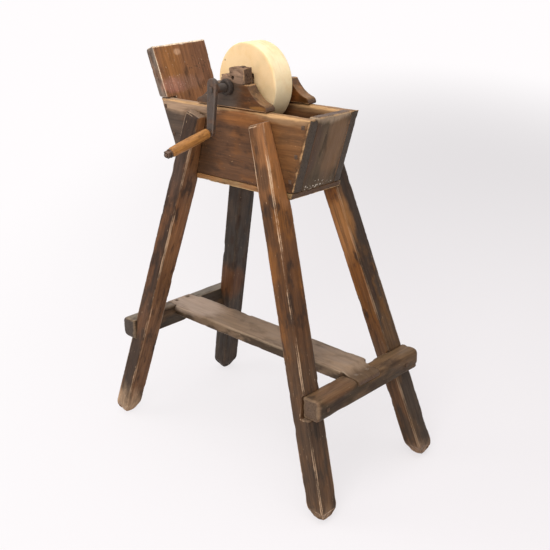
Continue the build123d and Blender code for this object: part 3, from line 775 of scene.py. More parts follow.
    def _lay_stains_and_shade(
        self, tree: Tree, where: bpy.types.Node, colour: Socket, smears: Socket
    ) -> Socket:
        """Lay each stain, and each patch of painted shade, over the colour, with a ragged edge.

        Args:
            tree: The material's node tree.
            where: Its Texture Coordinate node.
            colour: The colour so far.
            smears: The pattern that breaks up the edges of the stains and the painted shade.

        Returns:
            The colour with its stains and its painted shade.
        """
        for stain_and_shade in self.stains_and_shade:
            local = add_node(
                tree,
                "ShaderNodeMapping",
                {"Vector": where.outputs["Object"],
                 "Location": [c * MM for c in stain_and_shade.centre],
                 "Scale": [s * MM for s in stain_and_shade.size]},
                vector_type="TEXTURE",
            )
            reach = add_node(
                tree, "ShaderNodeVectorMath", {0: local.outputs[0]}, operation="LENGTH"
            ).outputs["Value"]
            pattern = add_node(
                tree, "ShaderNodeMath", {0: smears, 1: self.ragged_edge, 2: reach},
                operation="MULTIPLY_ADD",
            ).outputs[0]
            span = self.stain_and_shade_span
            if stain_and_shade.spots:
                spots = add_node(
                    tree,
                    "ShaderNodeTexNoise",
                    {"Vector": where.outputs["Object"], "Scale": 1 / (stain_and_shade.spots * MM),
                     "Detail": 2.0},
                ).outputs[0]
                pattern = add_node(
                    tree, "ShaderNodeMath", {0: pattern, 1: self.spots_fade, 2: spots},
                    operation="MULTIPLY_ADD",
                ).outputs[0]
                span = self.spot_span
            colour = lay_over(tree, colour, linear(stain_and_shade.colour), pattern, span, stain_and_shade.strength)
        return colour

    def _shade(self, tree: Tree, base: Socket | tuple, tone: Socket) -> Socket:
        """Darken the streaks towards umber and lighten them towards straw.

        Args:
            tree: The material's node tree.
            base: The colour that is shaded.
            tone: The grain's streaks, around a middle of 0.5.

        Returns:
            The shaded colour.
        """
        ramp = add_node(tree, "ShaderNodeValToRGB", {0: tone})
        dark, light = ramp.color_ramp.elements
        dark.position, light.position = self.tone_span
        dark.color = (*(1 - part * self.contrast for part in self.umber), 1)
        light.color = (*(1 + part * self.contrast for part in self.straw), 1)
        return add_node(
            tree,
            "ShaderNodeMix",
            {0: 1.0, 6: base, 7: ramp.outputs[0]},
            data_type="RGBA",
            blend_type="MULTIPLY",
        ).outputs[2]

    def _cracks(self, tree: Tree, along: Socket) -> Socket:
        """Draw drying cracks: thin dark lines along the grain, here and there.

        Args:
            tree: The material's node tree.
            along: The place, with Z along the grain.

        Returns:
            A pattern that is strong in the cracks.
        """
        lines = self._marks(tree, along, self.crack_spacing, stretch=30, detail=1)
        line = add_node(
            tree, "ShaderNodeMath", {0: lines, 1: 0.5, 2: self.crack_width}, operation="COMPARE"
        ).outputs[0]
        region = self._marks(tree, along, self.crack_region, stretch=3, detail=1)
        low, high = self.crack_span
        some = add_node(
            tree,
            "ShaderNodeMapRange",
            {"Value": region, "From Min": low, "From Max": high, "To Max": self.cracks},
        ).outputs[0]
        return add_node(tree, "ShaderNodeMath", {0: line, 1: some}, operation="MULTIPLY").outputs[0]

    def _end_grain(
        self, tree: Tree, where: bpy.types.Node, along: Socket, colour: Socket
    ) -> Socket:
        """Darken the cut ends, where oil and dirt soak in.

        Args:
            tree: The material's node tree.
            where: Its Texture Coordinate node.
            along: The place, with Z along the grain.
            colour: The colour so far.

        Returns:
            The colour with its ends darkened.
        """
        facing = add_node(
            tree,
            "ShaderNodeVectorMath",
            {0: where.outputs["Normal"], 1: Vector(self.grain).normalized()},
            operation="DOT_PRODUCT",
        ).outputs["Value"]
        both_ways = add_node(tree, "ShaderNodeMath", {0: facing}, operation="ABSOLUTE").outputs[0]
        pores = self._marks(tree, along, self.pore_width, stretch=1, detail=4)
        soaked = lay_over(
            tree, linear(self.end_grain), linear(self.pore), pores, self.pore_span,
            self.pores_hide,
        )
        return lay_over(tree, colour, soaked, both_ways, self.end_span, 1.0)

    def _rubbed(self, tree: Tree, along: Socket) -> Socket:
        """Rub the arrises back in places, by a line a few millimetres wide.

        Args:
            tree: The material's node tree.
            along: The place, with Z along the grain.

        Returns:
            A pattern that is strong where an arris is bare.
        """
        arris = add_node(tree, "ShaderNodeAttribute", attribute_name="arris").outputs["Fac"]
        places = self._marks(tree, along, self.rub_width, stretch=5, detail=4)
        uneven = add_node(
            tree,
            "ShaderNodeMath",
            {0: places, 1: self.patchy, 2: self.rub_level - self.patchy / 2},
            operation="MULTIPLY_ADD",
        ).outputs[0]
        return add_node(tree, "ShaderNodeMath", {0: uneven, 1: arris}, operation="ADD").outputs[0]


@dataclass(frozen=True)
class Sandstone:
    """Fine cream sandstone, trued by use: matt, grainy, a little yellow where it is wet."""

    name: str = "fine cream sandstone"
    face: str = "#efcd9c"
    rim: str = "#f4deb4"
    cloud_colour: str = "#e2b878"
    band_colour: str = "#c3ad83"
    grit_colour: str = "#b8996c"
    pit_colour: str = "#8a7558"
    grit: float = 2.2  # drawn coarser than the real 0.2 mm grains, which can't show
    cloud: float = 46.0
    band: float = 6.0
    band_stretch: Triple = (0.12, 1, 0.12)  # bands run round the rim
    pit_spacing: float = 36.0
    face_span: Span = (0.4, 0.8)
    cloud_span: Span = (0.4, 0.72)
    band_span: Span = (0.5, 0.75)
    grit_span: Span = (0.55, 0.8)
    pit_span: Span = (0.08, 0.045)
    hollow_span: Span = (0.35, 0.9)
    clouds: float = 0.5
    bands: float = 0.35
    grits: float = 0.45
    pits: float = 0.8
    hollows: float = 0.6
    relief: float = 0.5
    relief_strength: float = 0.4
    roughness: float = 0.92
    ior: float = 1.5

    def material(self) -> bpy.types.Material:
        """Build the material.

        Returns:
            A material with clouds, turned bands on the rim, grit and open pores.
        """
        made = bpy.data.materials.new(self.name)
        tree = empty_tree(made)
        where = add_node(tree, "ShaderNodeTexCoord")
        place = where.outputs["Object"]
        clouds = add_node(
            tree,
            "ShaderNodeTexNoise",
            {"Vector": place, "Scale": 1 / (self.cloud * MM), "Detail": 3.0, "Roughness": 0.6},
        ).outputs[0]
        grit = add_node(
            tree,
            "ShaderNodeTexNoise",
            {"Vector": place, "Scale": 1 / (self.grit * MM), "Detail": 3.0, "Roughness": 0.8},
        ).outputs[0]
        flat = add_node(tree, "ShaderNodeMapping", {"Vector": place, "Scale": self.band_stretch})
        bands = add_node(
            tree,
            "ShaderNodeTexNoise",
            {"Vector": flat.outputs[0], "Scale": 1 / (self.band * MM), "Detail": 2.0},
        ).outputs[0]
        facing = add_node(tree, "ShaderNodeSeparateXYZ", {0: where.outputs["Normal"]})
        sideways = add_node(
            tree, "ShaderNodeMath", {0: facing.outputs[Axis.Y.value]}, operation="ABSOLUTE"
        ).outputs[0]
        colour = lay_over(
            tree, linear(self.rim), linear(self.face), sideways, self.face_span, 1.0
        )
        for pattern, above, span, amount in (
            (clouds, self.cloud_colour, self.cloud_span, self.clouds),
            (bands, self.band_colour, self.band_span, self.bands),
            (grit, self.grit_colour, self.grit_span, self.grits),
        ):
            colour = lay_over(tree, colour, linear(above), pattern, span, amount)
        pores = add_node(
            tree, "ShaderNodeTexVoronoi", {"Vector": place, "Scale": 1 / (self.pit_spacing * MM)}
        ).outputs["Distance"]
        colour = lay_over(tree, colour, linear(self.pit_colour), pores, self.pit_span, self.pits)
        hollow = add_node(tree, "ShaderNodeAttribute", attribute_name="hollow").outputs["Fac"]
        colour = lay_over(
            tree, colour, linear(self.band_colour), hollow, self.hollow_span, self.hollows
        )
        bump = add_node(
            tree,
            "ShaderNodeBump",
            {"Height": grit, "Distance": self.relief * MM, "Strength": self.relief_strength},
        )
        shader = add_node(
            tree,
            "ShaderNodeBsdfPrincipled",
            {"Base Color": colour, "Roughness": self.roughness, "Normal": bump.outputs[0],
             "IOR": self.ior},
        )
        add_node(tree, "ShaderNodeOutputMaterial", {"Surface": shader.outputs[0]})
        return made


@dataclass(frozen=True)
class OldIron:
    """Wrought iron, forged by hand, browned and handled smooth: dull, with no bright metal."""

    name: str
    colour: str = "#4a3e36"
    rust: str = "#64452f"
    dark: str = "#29221e"
    bright: str = "#7d7065"
    mottle: float = 7.0
    rust_width: float = 22.0
    rust_span: Span = (0.45, 0.65)
    dark_span: Span = (0.5, 0.72)
    bright_span: Span = (0.6, 1.0)
    rusty: float = 0.65
    darkened: float = 0.8
    brightened: float = 0.35
    metallic: float = 0.3  # rust and grease hide most of the metal
    roughness: float = 0.55
    uneven_span: Span = (0.3, 0.7)
    uneven: Span = (-0.1, 0.15)  # around the roughness
    relief: float = 0.7
    relief_strength: float = 0.5

    def material(self) -> bpy.types.Material:
        """Build the material.

        Returns:
            A dull metal with rusty and dark patches, a little brighter on its arrises.
        """
        made = bpy.data.materials.new(self.name)
        tree = empty_tree(made)
        place = add_node(tree, "ShaderNodeTexCoord").outputs["Object"]
        mottles = add_node(
            tree,
            "ShaderNodeTexNoise",
            {"Vector": place, "Scale": 1 / (self.mottle * MM), "Detail": 5.0, "Roughness": 0.7},
        ).outputs[0]
        rusty = add_node(
            tree,
            "ShaderNodeTexNoise",
            {"Vector": place, "Scale": 1 / (self.rust_width * MM), "Detail": 3.0},
        ).outputs[0]
        colour = lay_over(
            tree, linear(self.colour), linear(self.rust), rusty, self.rust_span, self.rusty
        )
        colour = lay_over(
            tree, colour, linear(self.dark), mottles, self.dark_span, self.darkened
        )
        arris = add_node(tree, "ShaderNodeAttribute", attribute_name="arris").outputs["Fac"]
        colour = lay_over(
            tree, colour, linear(self.bright), arris, self.bright_span, self.brightened
        )
        bump = add_node(
            tree,
            "ShaderNodeBump",
            {"Height": mottles, "Distance": self.relief * MM, "Strength": self.relief_strength},
        )
        rough = add_node(
            tree,
            "ShaderNodeMapRange",
            {"Value": mottles, "From Min": self.uneven_span[0], "From Max": self.uneven_span[1],
             "To Min": self.roughness + self.uneven[0],
             "To Max": self.roughness + self.uneven[1]},
        )
        shader = add_node(
            tree,
            "ShaderNodeBsdfPrincipled",
            {"Base Color": colour, "Roughness": rough.outputs[0], "Normal": bump.outputs[0],
             "Metallic": self.metallic},
        )
        add_node(tree, "ShaderNodeOutputMaterial", {"Surface": shader.outputs[0]})
        return made


Finish = OldWood | Sandstone | OldIron


# ---------------------------------------------------------------- sub-assemblies
@dataclass
class SubAssembly:
    """Pieces of one part of the object, each with its wear and its finish."""

    neighbours: Neighbours
    made: list[bpy.types.Object] = field(default_factory=list)

    def dress(self, node: str, wear: Wear, finish: Finish, grain: Triple, slot: Slot) -> None:
        """Make a worn copy of a node and give it its finish.

        Args:
            node: The CAD node's name.
            wear: What use did to it.
            finish: Its material.
            grain: The direction of its grain in the row frame.
            slot: The record's material slot; not used.
        """
        piece = WornCopy(node, wear, Vector(grain), self.neighbours).make()
        piece.data.materials.clear()
        piece.data.materials.append(finish.material())
        self.made.append(piece)
        LOG.info("%s: %d faces", piece.name, len(piece.data.polygons))

    def paint(self, nodes: tuple[str, ...], finish: Finish) -> None:
        """Give solids that keep their shape a better finish.

        Args:
            nodes: The CAD nodes' names.
            finish: The material they share.
        """
        made = finish.material()
        for node in nodes:
            data = frame["nodes"][node].data
            data.materials.clear()
            data.materials.append(made)
            LOG.info("%s keeps its solid", node)


@dataclass
class Trough(SubAssembly):
    """The tapered water trough with its tall splash board."""

    side_brown: str = "#593c27"
    end_umber: str = "#554634"
    rim_grey: str = "#957a62"
    rim_gold: str = "#886848"
    tall_lean: Triple = (-0.35, 0.0, 0.94)
    end_lean: Triple = (0.31, 0.0, 0.95)

    def build(self) -> None:
        """Make the five boards."""
        self._side_boards()
        self._tall_board()
        self._end_board()
        self.dress(
            "bottom_board",
            Wear(seed=5.0, chip=1.6),
            # bare pine that water ran over: straw-coloured, half matt, dark at the cut ends
            OldWood("worn pine, bottom board", "#8a6e4b", "#4a3d31", ALONG_X, seed=5.0, rubbed=0.9,
                    worn="#c9a878"),
            ALONG_X,
            Slot.TROUGH,
        )

    def _side_boards(self) -> None:
        """Make both long sides: bleached at the rim, darkened at the left by painted shade and by
        the crank's painted shadow, warm under the block.
        """
        for seed, (end, outside) in enumerate((("front", 0), ("back", 1)), 1):
            node = f"{end}_side_board"
            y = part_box(node)[outside].y / MM
            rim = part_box(node)[1].z / MM
            stains_and_shade = (
                StainAndShade((35, y, rim - 16), (80, 12, 18), "#8a572c", 0.75),
                # painted shade darkening the left end below the rim
                StainAndShade((-205, y, rim - 70), (75, 24, 80), "#493e35", 0.85),
                # painted shadow of the crank arm and grip, left of the middle
                StainAndShade((-95, y, rim - 90), (45, 14, 90), "#3d2919", 0.75),
                StainAndShade((165, y, rim - 60), (60, 14, 70), "#74502f", 0.5),
                StainAndShade((-160, y, rim), (125, 70, 25), self.rim_grey, 0.95),
                StainAndShade((150, y, rim), (95, 70, 16), self.rim_gold, 0.9),
                StainAndShade((198, 66, 715), (30, 20, 120), "#7d5f49", 0.7),
            )
            self.dress(
                node,
                Wear(seed=float(seed), chip=1.6, chip_width=24, reach=13, softening=4.2, line=10.5),
                # pine takes oil unevenly: a blotchy red brown with long grain and a low sheen
                OldWood(f"stained pine, {node}", self.side_brown, self.end_umber, ALONG_X,
                        seed=float(seed), end_grain="#4a3f35", stains_and_shade=stains_and_shade, glow="#754821"),
                ALONG_X,
                Slot.TROUGH,
            )

    def _tall_board(self) -> None:
        """Make the tall board: orange at its front edge, scuffed red low down, with a pale knot."""
        stains_and_shade = (
            StainAndShade((-222, -10, 845), (40, 24, 70), "#885a31", 0.75),
            StainAndShade((-222, 78, 850), (40, 34, 70), "#674531", 0.6),
            StainAndShade((-207, -20, 800), (18, 32, 16), "#9c6256", 0.6),
            StainAndShade((-208, -8, 803), (24, 60, 24), "#cfae9c", 0.8, spots=3.2),
            StainAndShade((-220, 66, 840), (60, 60, 70), "#4e3826", 0.75, spots=7.0),
            StainAndShade((-232, 12, 867), (9, 9, 7), "#b48d6e", 0.75),
            StainAndShade((-238, 34, 886), (12, 8, 6), "#cbb8a6", 0.8),
            StainAndShade((-209, 0, 802), (16, 60, 18), "#8a6552", 0.55),
        )
        self.dress(
            "tall_end_board",
            Wear(seed=3.0, chip=1.7, reach=6.5, line=5.8),
            # the splash board was splashed and wiped: lively upright grain, rubbed white at its rim
            OldWood("stained pine, tall board", "#73655a", "#775034", self.tall_lean, seed=3.0,
                    contrast=0.55, end_grain="#7a6757", worn="#f0d8ba", rubbed=1.0, patchy=0.5,
                    stains_and_shade=stains_and_shade, glow="#875a38"),
            self.tall_lean,
            Slot.TROUGH,
        )

    def _end_board(self) -> None:
        """Make the right end: dark umber, with warm streaks and old paint flecks low down."""
        stains_and_shade = (
            StainAndShade((200, 44, 715), (50, 32, 100), "#7d5d42", 0.6),
            StainAndShade((195, -38, 715), (50, 34, 130), "#4b362a", 0.8),
            StainAndShade((172, 24, 640), (40, 90, 20), "#453a2e", 0.3),
            StainAndShade((207, 24, 780), (45, 110, 17), "#9a856e", 0.9),
            StainAndShade((172, 2, 630), (40, 100, 19), "#ddd2c2", 0.95, spots=4.4),
        )
        self.dress(
            "right_end_board",
            Wear(seed=4.0),
            # pine blackened by wet grit: an even, dull umber with little grain
            OldWood("dark stained pine, end board", "#62503c", self.end_umber, self.end_lean,
                    seed=4.0, glow="#68523b", rubbed=0.5, contrast=0.28, grimy=0.4, stains_and_shade=stains_and_shade),
            self.end_lean,
            Slot.DARK_END,
        )


@dataclass(frozen=True)
class LegLook:
    """One leg's place and tones."""

    node: str
    side: int  # 1 at the right, -1 at the left
    end: int  # 1 at the back, -1 at the front
    front: str
    flank: str
    glow: str
    tip: str
    tip_height: float
    rubbed: float
    grimy_foot: float
    stains_and_shade: tuple[StainAndShade, ...] = ()


@dataclass
class Legs(SubAssembly):
    """Four raked and splayed posts."""

    rake: float = math.radians(17.3)
    splay: float = math.radians(7.05)
    foot_inset: float = 24.0  # from a foot's outer corner to its middle
    foot_spread: float = 60.0  # wider than a foot, so that a tip's tone goes all round it
    looks: tuple[LegLook, ...] = (
        LegLook(
            "front_left_leg", -1, -1, "#362417", "#765031", "#6e472a", "#b79879", 78, 0.6, 0.3,
            (StainAndShade((-150, -70, 640), (40, 60, 90), "#4a382e", 0.6),),
        ),
        LegLook(
            "front_right_leg", 1, -1, "#52341b", "#573820", "#784b20", "#7a5d41", 42, 0.85, 0.65,
            (StainAndShade((132, -55, 690), (42, 42, 130), "#9c6a42", 0.6),
             StainAndShade((126, -75, 655), (20, 24, 26), "#45301f", 0.7)),
        ),
        LegLook(
            "back_left_leg", -1, 1, "#332b25", "#3a322c", "#4a392b", "#33291f", 30, 0.1, 0.3,
            (StainAndShade((-240, 120, 292), (60, 70, 48), "#603b20", 0.75),),
        ),
        LegLook(
            "back_right_leg", 1, 1, "#72451b", "#372a20", "#7c5222", "#8a6d55", 46, 0.3, 0.65,
            (StainAndShade((170, 98, 500), (34, 22, 95), "#98693d", 0.65),),
        ),
    )

    def build(self) -> None:
        """Make the legs, each in its own tones."""
        for seed, look in enumerate(self.looks, 10):
            grain = (-look.side * math.tan(self.rake), -look.end * math.tan(self.splay), 1.0)
            low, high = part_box(look.node)
            x = (high.x if look.side > 0 else low.x) / MM - look.side * self.foot_inset
            y = (high.y if look.end > 0 else low.y) / MM - look.end * self.foot_inset
            turn = grain_turn(Vector(grain))
            tip_size = (self.foot_spread, self.foot_spread, look.tip_height)
            stains_and_shade = (
                StainAndShade((x - look.side * 35, y - look.end * 15, 60), (190, 190, 300), "#41352a",
                      look.grimy_foot),
                StainAndShade((x, y, -8), tip_size, look.tip, 0.75),
                StainAndShade((x, y, 0), tip_size, "#d8bc9e", 0.85, spots=3.5),
                *look.stains_and_shade,
            )
            self.dress(
                look.node,
                FootWear(mesh=1.7, seed=float(seed), chip=1.3, dent=0.5, chip_width=20, reach=6,
                         line=3.4, foot=turn @ Vector((x, y, 0)), up=turn @ Vector(UPRIGHT)),
                # elm has a strong wild grain: fox red and black streaks, bare pale arrises
                OldWood(f"oiled elm, {look.node}", look.front, look.flank, grain,
                        seed=float(seed), glow=look.glow, worn="#b5987c", rubbed=look.rubbed,
                        patchy=1.8, contrast=0.62, grimy=0.9, glowing=0.65, stains_and_shade=stains_and_shade,
                        end_grain="#7b6450"),
                grain,
                Slot.LEG,
            )


@dataclass
class Stretchers(SubAssembly):
    """The two end rails and the long board between them, whose right lap is pared flush."""

    pared_span: Span = (258.0, 284.0)  # where the paring begins and is full, along the board

    def build(self) -> None:
        """Make the three stretchers, greyer on top."""
        rails = (
            ("left_end_stretcher", "#3d342b", "#7b7062", "#463c34"),
            ("right_end_stretcher", "#3b2c1a", "#5f4a34", "#5f4b3a"),
        )
        for seed, (node, side, top, cut) in enumerate(rails, 20):
            self.dress(
                node,
                Wear(rounding=10, seed=float(seed), chip=2.0, dent=1.2, reach=8, line=9),
                # oak left unoiled goes grey where feet and light reach it, and stays brown below
                OldWood(f"weathered oak, {node}", side, top, ALONG_Y, seed=float(seed), rubbed=0.3,
                        worn="#a58a6c", glow="#6e5238", flank_axis=Axis.Z, end_grain=cut,
                        stains_and_shade=(StainAndShade((292, -70, 250), (40, 55, 16), "#734f34", 0.4),
                                StainAndShade((300, -136, 232), (30, 12, 34), "#7d614b", 0.6))),
                ALONG_Y,
                Slot.STRETCHER,
            )
        self.dress(
            "long_stretcher",
            Wear(seed=23.0, chip=1.5),
            # the board feet rested on: dusty grey oak, with its grain worn faint
            OldWood("weathered oak, long stretcher", "#3c2e20", "#8a7460", ALONG_X, seed=23.0,
                    rubbed=0.35, worn="#a8927a", glow="#977c62", grime="#5c4b3d", contrast=0.2,
                    grimy=0.4, flank_axis=Axis.Z,
                    stains_and_shade=(StainAndShade((-225, 25, 262), (75, 60, 14), "#b39b88", 0.85),
                            StainAndShade((306, 24, 250), (30, 90, 40), "#55402c", 0.9))),
            ALONG_X,
            Slot.STRETCHER,
        )
        self._pare(self.made[-1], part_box("long_stretcher")[0].z)
        self._drive_lap_nails()

    def _drive_lap_nails(self) -> None:
        """Lower the lap nails' heads with the pared lap."""
        nails = frame["nodes"]["lap_nails"]
        lowered = put_in_scene("driven_lap_nails", nails.data.copy())
        bm = welded(nails.data)
        bm.to_mesh(lowered.data)
        bm.free()
        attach(lowered, nails["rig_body"])
        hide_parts("lap_nails")
        self._pare(lowered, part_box("lap_nails")[0].z)
        lowered.data.materials.clear()
        # heads that shoes rubbed: paler and smoother than the other nails
        iron = OldIron("rubbed nail iron", "#6b5949", "#665240", "#54453a", mottle=3.0,
                       metallic=0.15, roughness=0.7)
        lowered.data.materials.append(iron.material())
        self.made.append(lowered)

    def _pare(self, piece: bpy.types.Object, base: float) -> None:
        """Bring the right end of a piece down to the rail's top, and keep its underside.

        Args:
            piece: The board, or the nails driven through its laps.
            base: The height that stays, in metres.
        """
        board_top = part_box("long_stretcher")[1].z
        drop = board_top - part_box("right_end_stretcher")[1].z
        for vertex in piece.data.vertices:
            pared = smoothstep(*self.pared_span, vertex.co.x / MM)
            height = (vertex.co.z - base) / (board_top - base)
            vertex.co.z -= drop * pared * max(0.0, height)


@dataclass
class Bearings(SubAssembly):
    """Blocks on the rim, their iron shells and the keepers over the axle."""

    oil_colour: str = "#4a4038"

    def build(self) -> None:
        """Make both bearings."""
        axle = [c / MM for c in Vector(frame["joints"][0]["pos_m"])]
        for seed, (end, outside) in enumerate((("front", 0), ("back", 1))):
            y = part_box(f"{end}_bearing_block")[outside].y / MM
            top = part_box(f"{end}_keeper")[1].z / MM
            stains_and_shade = (
                StainAndShade((axle[0] - 42, y, axle[2] - 10), (78, 60, 48), self.oil_colour, 0.85),
                StainAndShade((80, y, axle[2] - 36), (24, 9, 4), "#94642f", 0.7 if end == "front" else 0.0),
            )
            self.dress(
                f"{end}_bearing_block",
                Wear(mesh=1.5, seed=30.0 + seed, chip=1.3, chip_width=12, reach=4.5),
                # ash soaked with axle oil: nearly black by the shell, warm brown away from it
                OldWood(f"oily ash, {end} block", "#4e2f14", "#75573a", ALONG_X, seed=30.0 + seed,
                        stains_and_shade=stains_and_shade, flank_axis=Axis.Z, worn="#b98f66"),
                ALONG_X,
                Slot.BLOCK,
            )
            pits = StainAndShade((axle[0], y, top), (60, 60, 11), "#2b211b", 0.9, spots=4.0)
            self.dress(
                f"{end}_keeper",
                Wear(mesh=1.2, seed=34.0 + seed, chip=4.0, chip_width=8, dent=2.6, dent_width=9,
                     reach=5, stretch=4),
                # a split and crumbling offcut: dry, matt and pitted, with open cracks
                OldWood(f"rough dark ash, {end} keeper", "#876c58", "#7e6856", ALONG_X,
                        seed=34.0 + seed, rubbed=0.35, cracks=1.0, roughness=0.7, patch=26,
                        glow="#7a5f4b", stains_and_shade=(pits,)),
                ALONG_X,
                Slot.KEEPER,
            )
        # strip iron under oil: smooth and nearly black
        shells = OldIron("oily iron strip", "#3c3631")
        self.paint(("front_bearing_shell", "back_bearing_shell"), shells)


@dataclass
class Stone(SubAssembly):
    """The wheel, its wedges and the iron that holds it on the axle."""

    def build(self) -> None:
        """Make the stone and finish its hardware."""
        low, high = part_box("grindstone")
        self.dress(
            "grindstone",
            StoneWear(mesh=1.6, seed=40.0, ridge=0.12, dent=0.5, chip=1.4, chip_width=11, reach=4,
                      centre=grain_turn(Vector(ALONG_Y)) @ ((low + high) / 2) / MM,
                      radius=(high.x - low.x) / 2 / MM),
            Sandstone(),
            ALONG_Y,
            Slot.STONE,
        )
        # fresh split oak, kept clean by the stone: honey-coloured
        wedges = OldWood("split oak wedges", "#8c6b47", "#8c6b47", ALONG_Y, seed=44.0)
        self.paint(
            ("upper_eye_wedge", "lower_eye_wedge", "left_eye_wedge", "right_eye_wedge"), wedges
        )
        # forged iron under grease and stone dust: dark, with a soft gleam
        greasy = OldIron("greasy wrought iron", "#463d36")
        self.paint(("front_flange", "back_flange", "flange_pins", "axle"), greasy)


@dataclass
class Crank(SubAssembly):
    """The forged arm, its collars, and the turned grip on its spindle."""

    def build(self) -> None:
        """Make the crank and the handle."""
        # hammered iron that rusted and was handled smooth again: a dull, mottled brown
        iron = OldIron("browned wrought iron")
        self.dress(
            "crank_arm",
            ForgedWear(mesh=0.9, rounding=1, seed=50.0, dent=0.4, dent_width=14, ridge=0.25,
                       ridge_width=3.5, chip=0.35, reach=2.5),
            iron,
            UPRIGHT,
            Slot.IRON,
        )
        for seed, node in enumerate(("front_collar", "back_collar"), 52):
            self.dress(
                node,
                ForgedWear(mesh=0.9, rounding=1, seed=float(seed), dent=0.4, dent_width=9,
                           ridge=0.2, ridge_width=3, chip=0.5, reach=2.5),
                # oil and dust from the bearing baked on: dark and matt
                OldIron(f"oily wrought iron, {node}", "#352a22", "#463528", roughness=0.7),
                ALONG_Y,
                Slot.IRON,
            )
        self.dress(
            "spindle_nut",
            ForgedWear(mesh=0.6, rounding=1, seed=55.0, dent=0.3, dent_width=6, ridge=0.15,
                       ridge_width=2.5, chip=0.5, reach=2),
            # filed and hammered: dark, with brighter corners
            OldIron("dark forged nut", "#453a33"),
            ALONG_Y,
            Slot.IRON,
        )
        axis = tuple(frame["joints"][1]["axis"])
        self.dress(
            "handle_grip",
            Wear(mesh=0.8, rounding=1, seed=57.0, ridge=0.12, ridge_width=2.5, dent=0.3,
                 dent_width=16, chip=0.4, chip_width=6, reach=2.5),
            # close-grained beech that palms polished: golden, even, the shiniest wood here
            OldWood("turned beech, polished by hands", "#966737", "#966737", axis,
                    end_grain="#6d4c2d", glow="#a8743b", grime="#6b4522", specks=0.0,
                    worn="#bb8a50", fibre=1.6, streak=4.0, patch=18.0, contrast=0.4, rubbed=0.4,
                    cracks=0.3, roughness=0.4, seed=57.0),
            axis,
            Slot.GRIP,
        )
        self.paint(("handle_spindle", "grip_washer"), iron)


@dataclass
class Nails(SubAssembly):
    """Square forged nails with low four-sided heads."""

    def build(self) -> None:
        """Finish the nails."""
        # nails rust deep into wet wood: a matt red-brown crust with hardly any metal
        rusty = OldIron("rusty nail iron", "#4f3a2a", "#5f4530", "#3a2b20", mottle=3.0,
                        metallic=0.05, roughness=0.85)
        self.paint(
            ("trough_nails", "bottom_board_nails", "leg_nails", "stretcher_nails", "keeper_nails"),
            rusty,
        )


# ---------------------------------------------------------------- studio
@dataclass(frozen=True)
class Softbox:
    """A large soft lamp of white light."""

    name: str
    place: Triple
    size: float
    watts: float


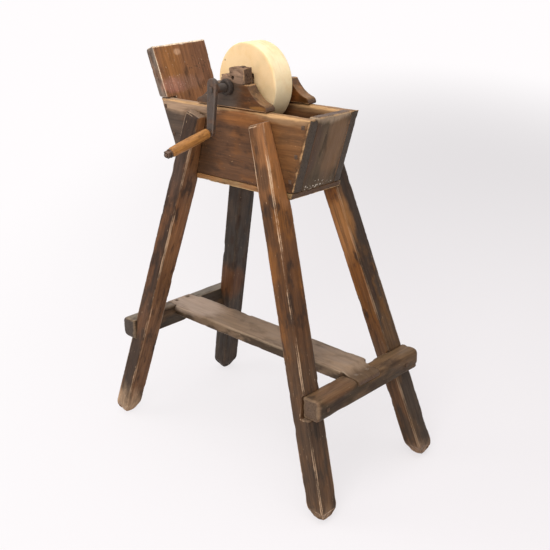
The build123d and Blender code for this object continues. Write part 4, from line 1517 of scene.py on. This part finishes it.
@dataclass
class Studio:
    """A pale floor, soft light from all round, and the camera."""

    eye_from_axle: Triple = (1.28946, -1.24753, 0.25406)
    heading: float = 44.988  # degrees, to the left of straight ahead along Y
    tilt: float = 20.69
    roll: float = -1.4885
    lens: float = 56.448
    softboxes: tuple[Softbox, ...] = (
        Softbox("key", (1.5, -2.2, 2.0), 1.8, 58),
        Softbox("overhead", (0.2, -0.2, 2.9), 2.2, 44),
        Softbox("fill", (-1.8, -1.7, 1.5), 1.6, 16),
    )
    lit_middle: Triple = (0, 0, 0.5)  # where the lamps point
    floor_reach: float = 40.0  # so far that the camera sees no horizon
    floor_colour: str = "#efebeb"  # as the object and the lamps see it
    shadow_colour: str = "#8f8b8c"  # the share of the seen floor that takes the object's shadow
    glow_colour: str = "#fdfafb"
    glow: Span = (0.63, 1.02)  # how bright the seen floor is in the shade and beyond it
    shade_centre: Triple = (0.3, 1.2, 0.0)  # where the floor is least bright
    shade_turn: float = 45.0  # degrees; the shade is longer towards the back
    shade_stretch: float = 2.9
    shade_reach: Span = (0.5, 2.3)
    sky: float = 0.36
    sky_colour: str = "#fdfcff"

    def build(self) -> None:
        """Set the floor, the lamps, the world and the camera."""
        self._floor()
        self._world()
        self._lamps()
        self._camera()
        bpy.context.scene.view_settings.view_transform = "Standard"
        LOG.info("studio ready")

    def _lamps(self) -> None:
        """Hang the softboxes, each turned to the object."""
        for box in self.softboxes:
            data = bpy.data.lights.new(box.name, "AREA")
            data.shape, data.size, data.energy = "SQUARE", box.size, box.watts
            lamp = put_in_scene(box.name, data)
            lamp.location = box.place
            away = Vector(box.place) - Vector(self.lit_middle)
            lamp.rotation_euler = away.to_track_quat("Z", "Y").to_euler()

    def _camera(self) -> None:
        """Set the camera up in front of the crank."""
        camera = put_in_scene("camera", bpy.data.cameras.new("camera"))
        camera.data.lens = self.lens
        camera.data.clip_end = 3 * self.floor_reach
        camera.location = Vector(frame["joints"][0]["pos_m"]) + Vector(self.eye_from_axle)
        turned = (
            Matrix.Rotation(math.radians(self.heading), 3, "Z")
            @ Matrix.Rotation(math.radians(90 - self.tilt), 3, "X")
            @ Matrix.Rotation(math.radians(self.roll), 3, "Z")
        )
        camera.rotation_euler = turned.to_euler()
        bpy.context.scene.camera = camera

    def _floor(self) -> None:
        """Lay a pale floor that keeps the object's shadow and fades to white away from it."""
        bm = bmesh.new()
        bmesh.ops.create_grid(bm, x_segments=1, y_segments=1, size=self.floor_reach)
        mesh = bpy.data.meshes.new("floor")
        bm.to_mesh(mesh)
        bm.free()
        floor = put_in_scene("floor", mesh)
        mesh.materials.append(self._floor_paint())

    def _floor_paint(self) -> bpy.types.Material:
        """Build the floor's material: matt white paint, so it shows no reflection.

        Returns:
            A material that looks nearly white, with a soft shade behind the object.
        """
        made = bpy.data.materials.new("pale painted floor")
        tree = empty_tree(made)
        light = add_node(tree, "ShaderNodeLightPath")
        place = add_node(tree, "ShaderNodeTexCoord").outputs["Object"]
        shaded = add_node(
            tree,
            "ShaderNodeMapping",
            {"Vector": place, "Location": self.shade_centre,
             "Rotation": (0, 0, math.radians(self.shade_turn)),
             "Scale": (1, self.shade_stretch, 1)},
            vector_type="TEXTURE",
        )
        away = add_node(
            tree, "ShaderNodeVectorMath", {0: shaded.outputs[0]}, operation="LENGTH"
        ).outputs["Value"]
        paint = add_node(tree, "ShaderNodeBsdfDiffuse", {"Color": linear(self.floor_colour)})
        near = lay_over(
            tree, linear(self.shadow_colour), linear("#000000"), away, self.shade_reach, 1.0
        )
        dim = add_node(tree, "ShaderNodeBsdfDiffuse", {"Color": near})
        glow = add_node(
            tree,
            "ShaderNodeMapRange",
            {"Value": away, "From Min": self.shade_reach[0], "From Max": self.shade_reach[1],
             "To Min": self.glow[0], "To Max": self.glow[1]},
            interpolation_type="SMOOTHSTEP",
        )
        shine = add_node(
            tree,
            "ShaderNodeEmission",
            {"Color": linear(self.glow_colour), "Strength": glow.outputs[0]},
        )
        seen = add_node(tree, "ShaderNodeAddShader", {0: dim.outputs[0], 1: shine.outputs[0]})
        mixed = add_node(
            tree,
            "ShaderNodeMixShader",
            {0: light.outputs["Is Camera Ray"], 1: paint.outputs[0], 2: seen.outputs[0]},
        )
        add_node(tree, "ShaderNodeOutputMaterial", {"Surface": mixed.outputs[0]})
        return made

    def _world(self) -> None:
        """Light the scene from all round, and show white behind the floor."""
        world = bpy.data.worlds.new("white room")
        tree = empty_tree(world)
        light = add_node(tree, "ShaderNodeLightPath")
        seen = add_node(
            tree,
            "ShaderNodeMath",
            {0: light.outputs["Is Camera Ray"], 1: light.outputs["Is Glossy Ray"]},
            operation="MAXIMUM",
        )
        strength = add_node(
            tree, "ShaderNodeMix", {0: seen.outputs[0], 2: self.sky, 3: 1.0}, data_type="FLOAT"
        )
        room = add_node(
            tree,
            "ShaderNodeBackground",
            {"Color": linear(self.sky_colour), "Strength": strength.outputs[0]},
        )
        add_node(tree, "ShaderNodeOutputWorld", {"Surface": room.outputs[0]})
        bpy.context.scene.world = world


def main() -> None:
    """Build the studio and the object in order."""
    logging.basicConfig(level=logging.INFO, format="%(name)s: %(message)s")
    Studio().build()
    neighbours = Neighbours()
    for part in (Trough, Legs, Stretchers, Bearings, Stone, Crank, Nails):
        part(neighbours).build()
        LOG.info("%s done", part.__name__)


if __name__ == "__main__":
    main()
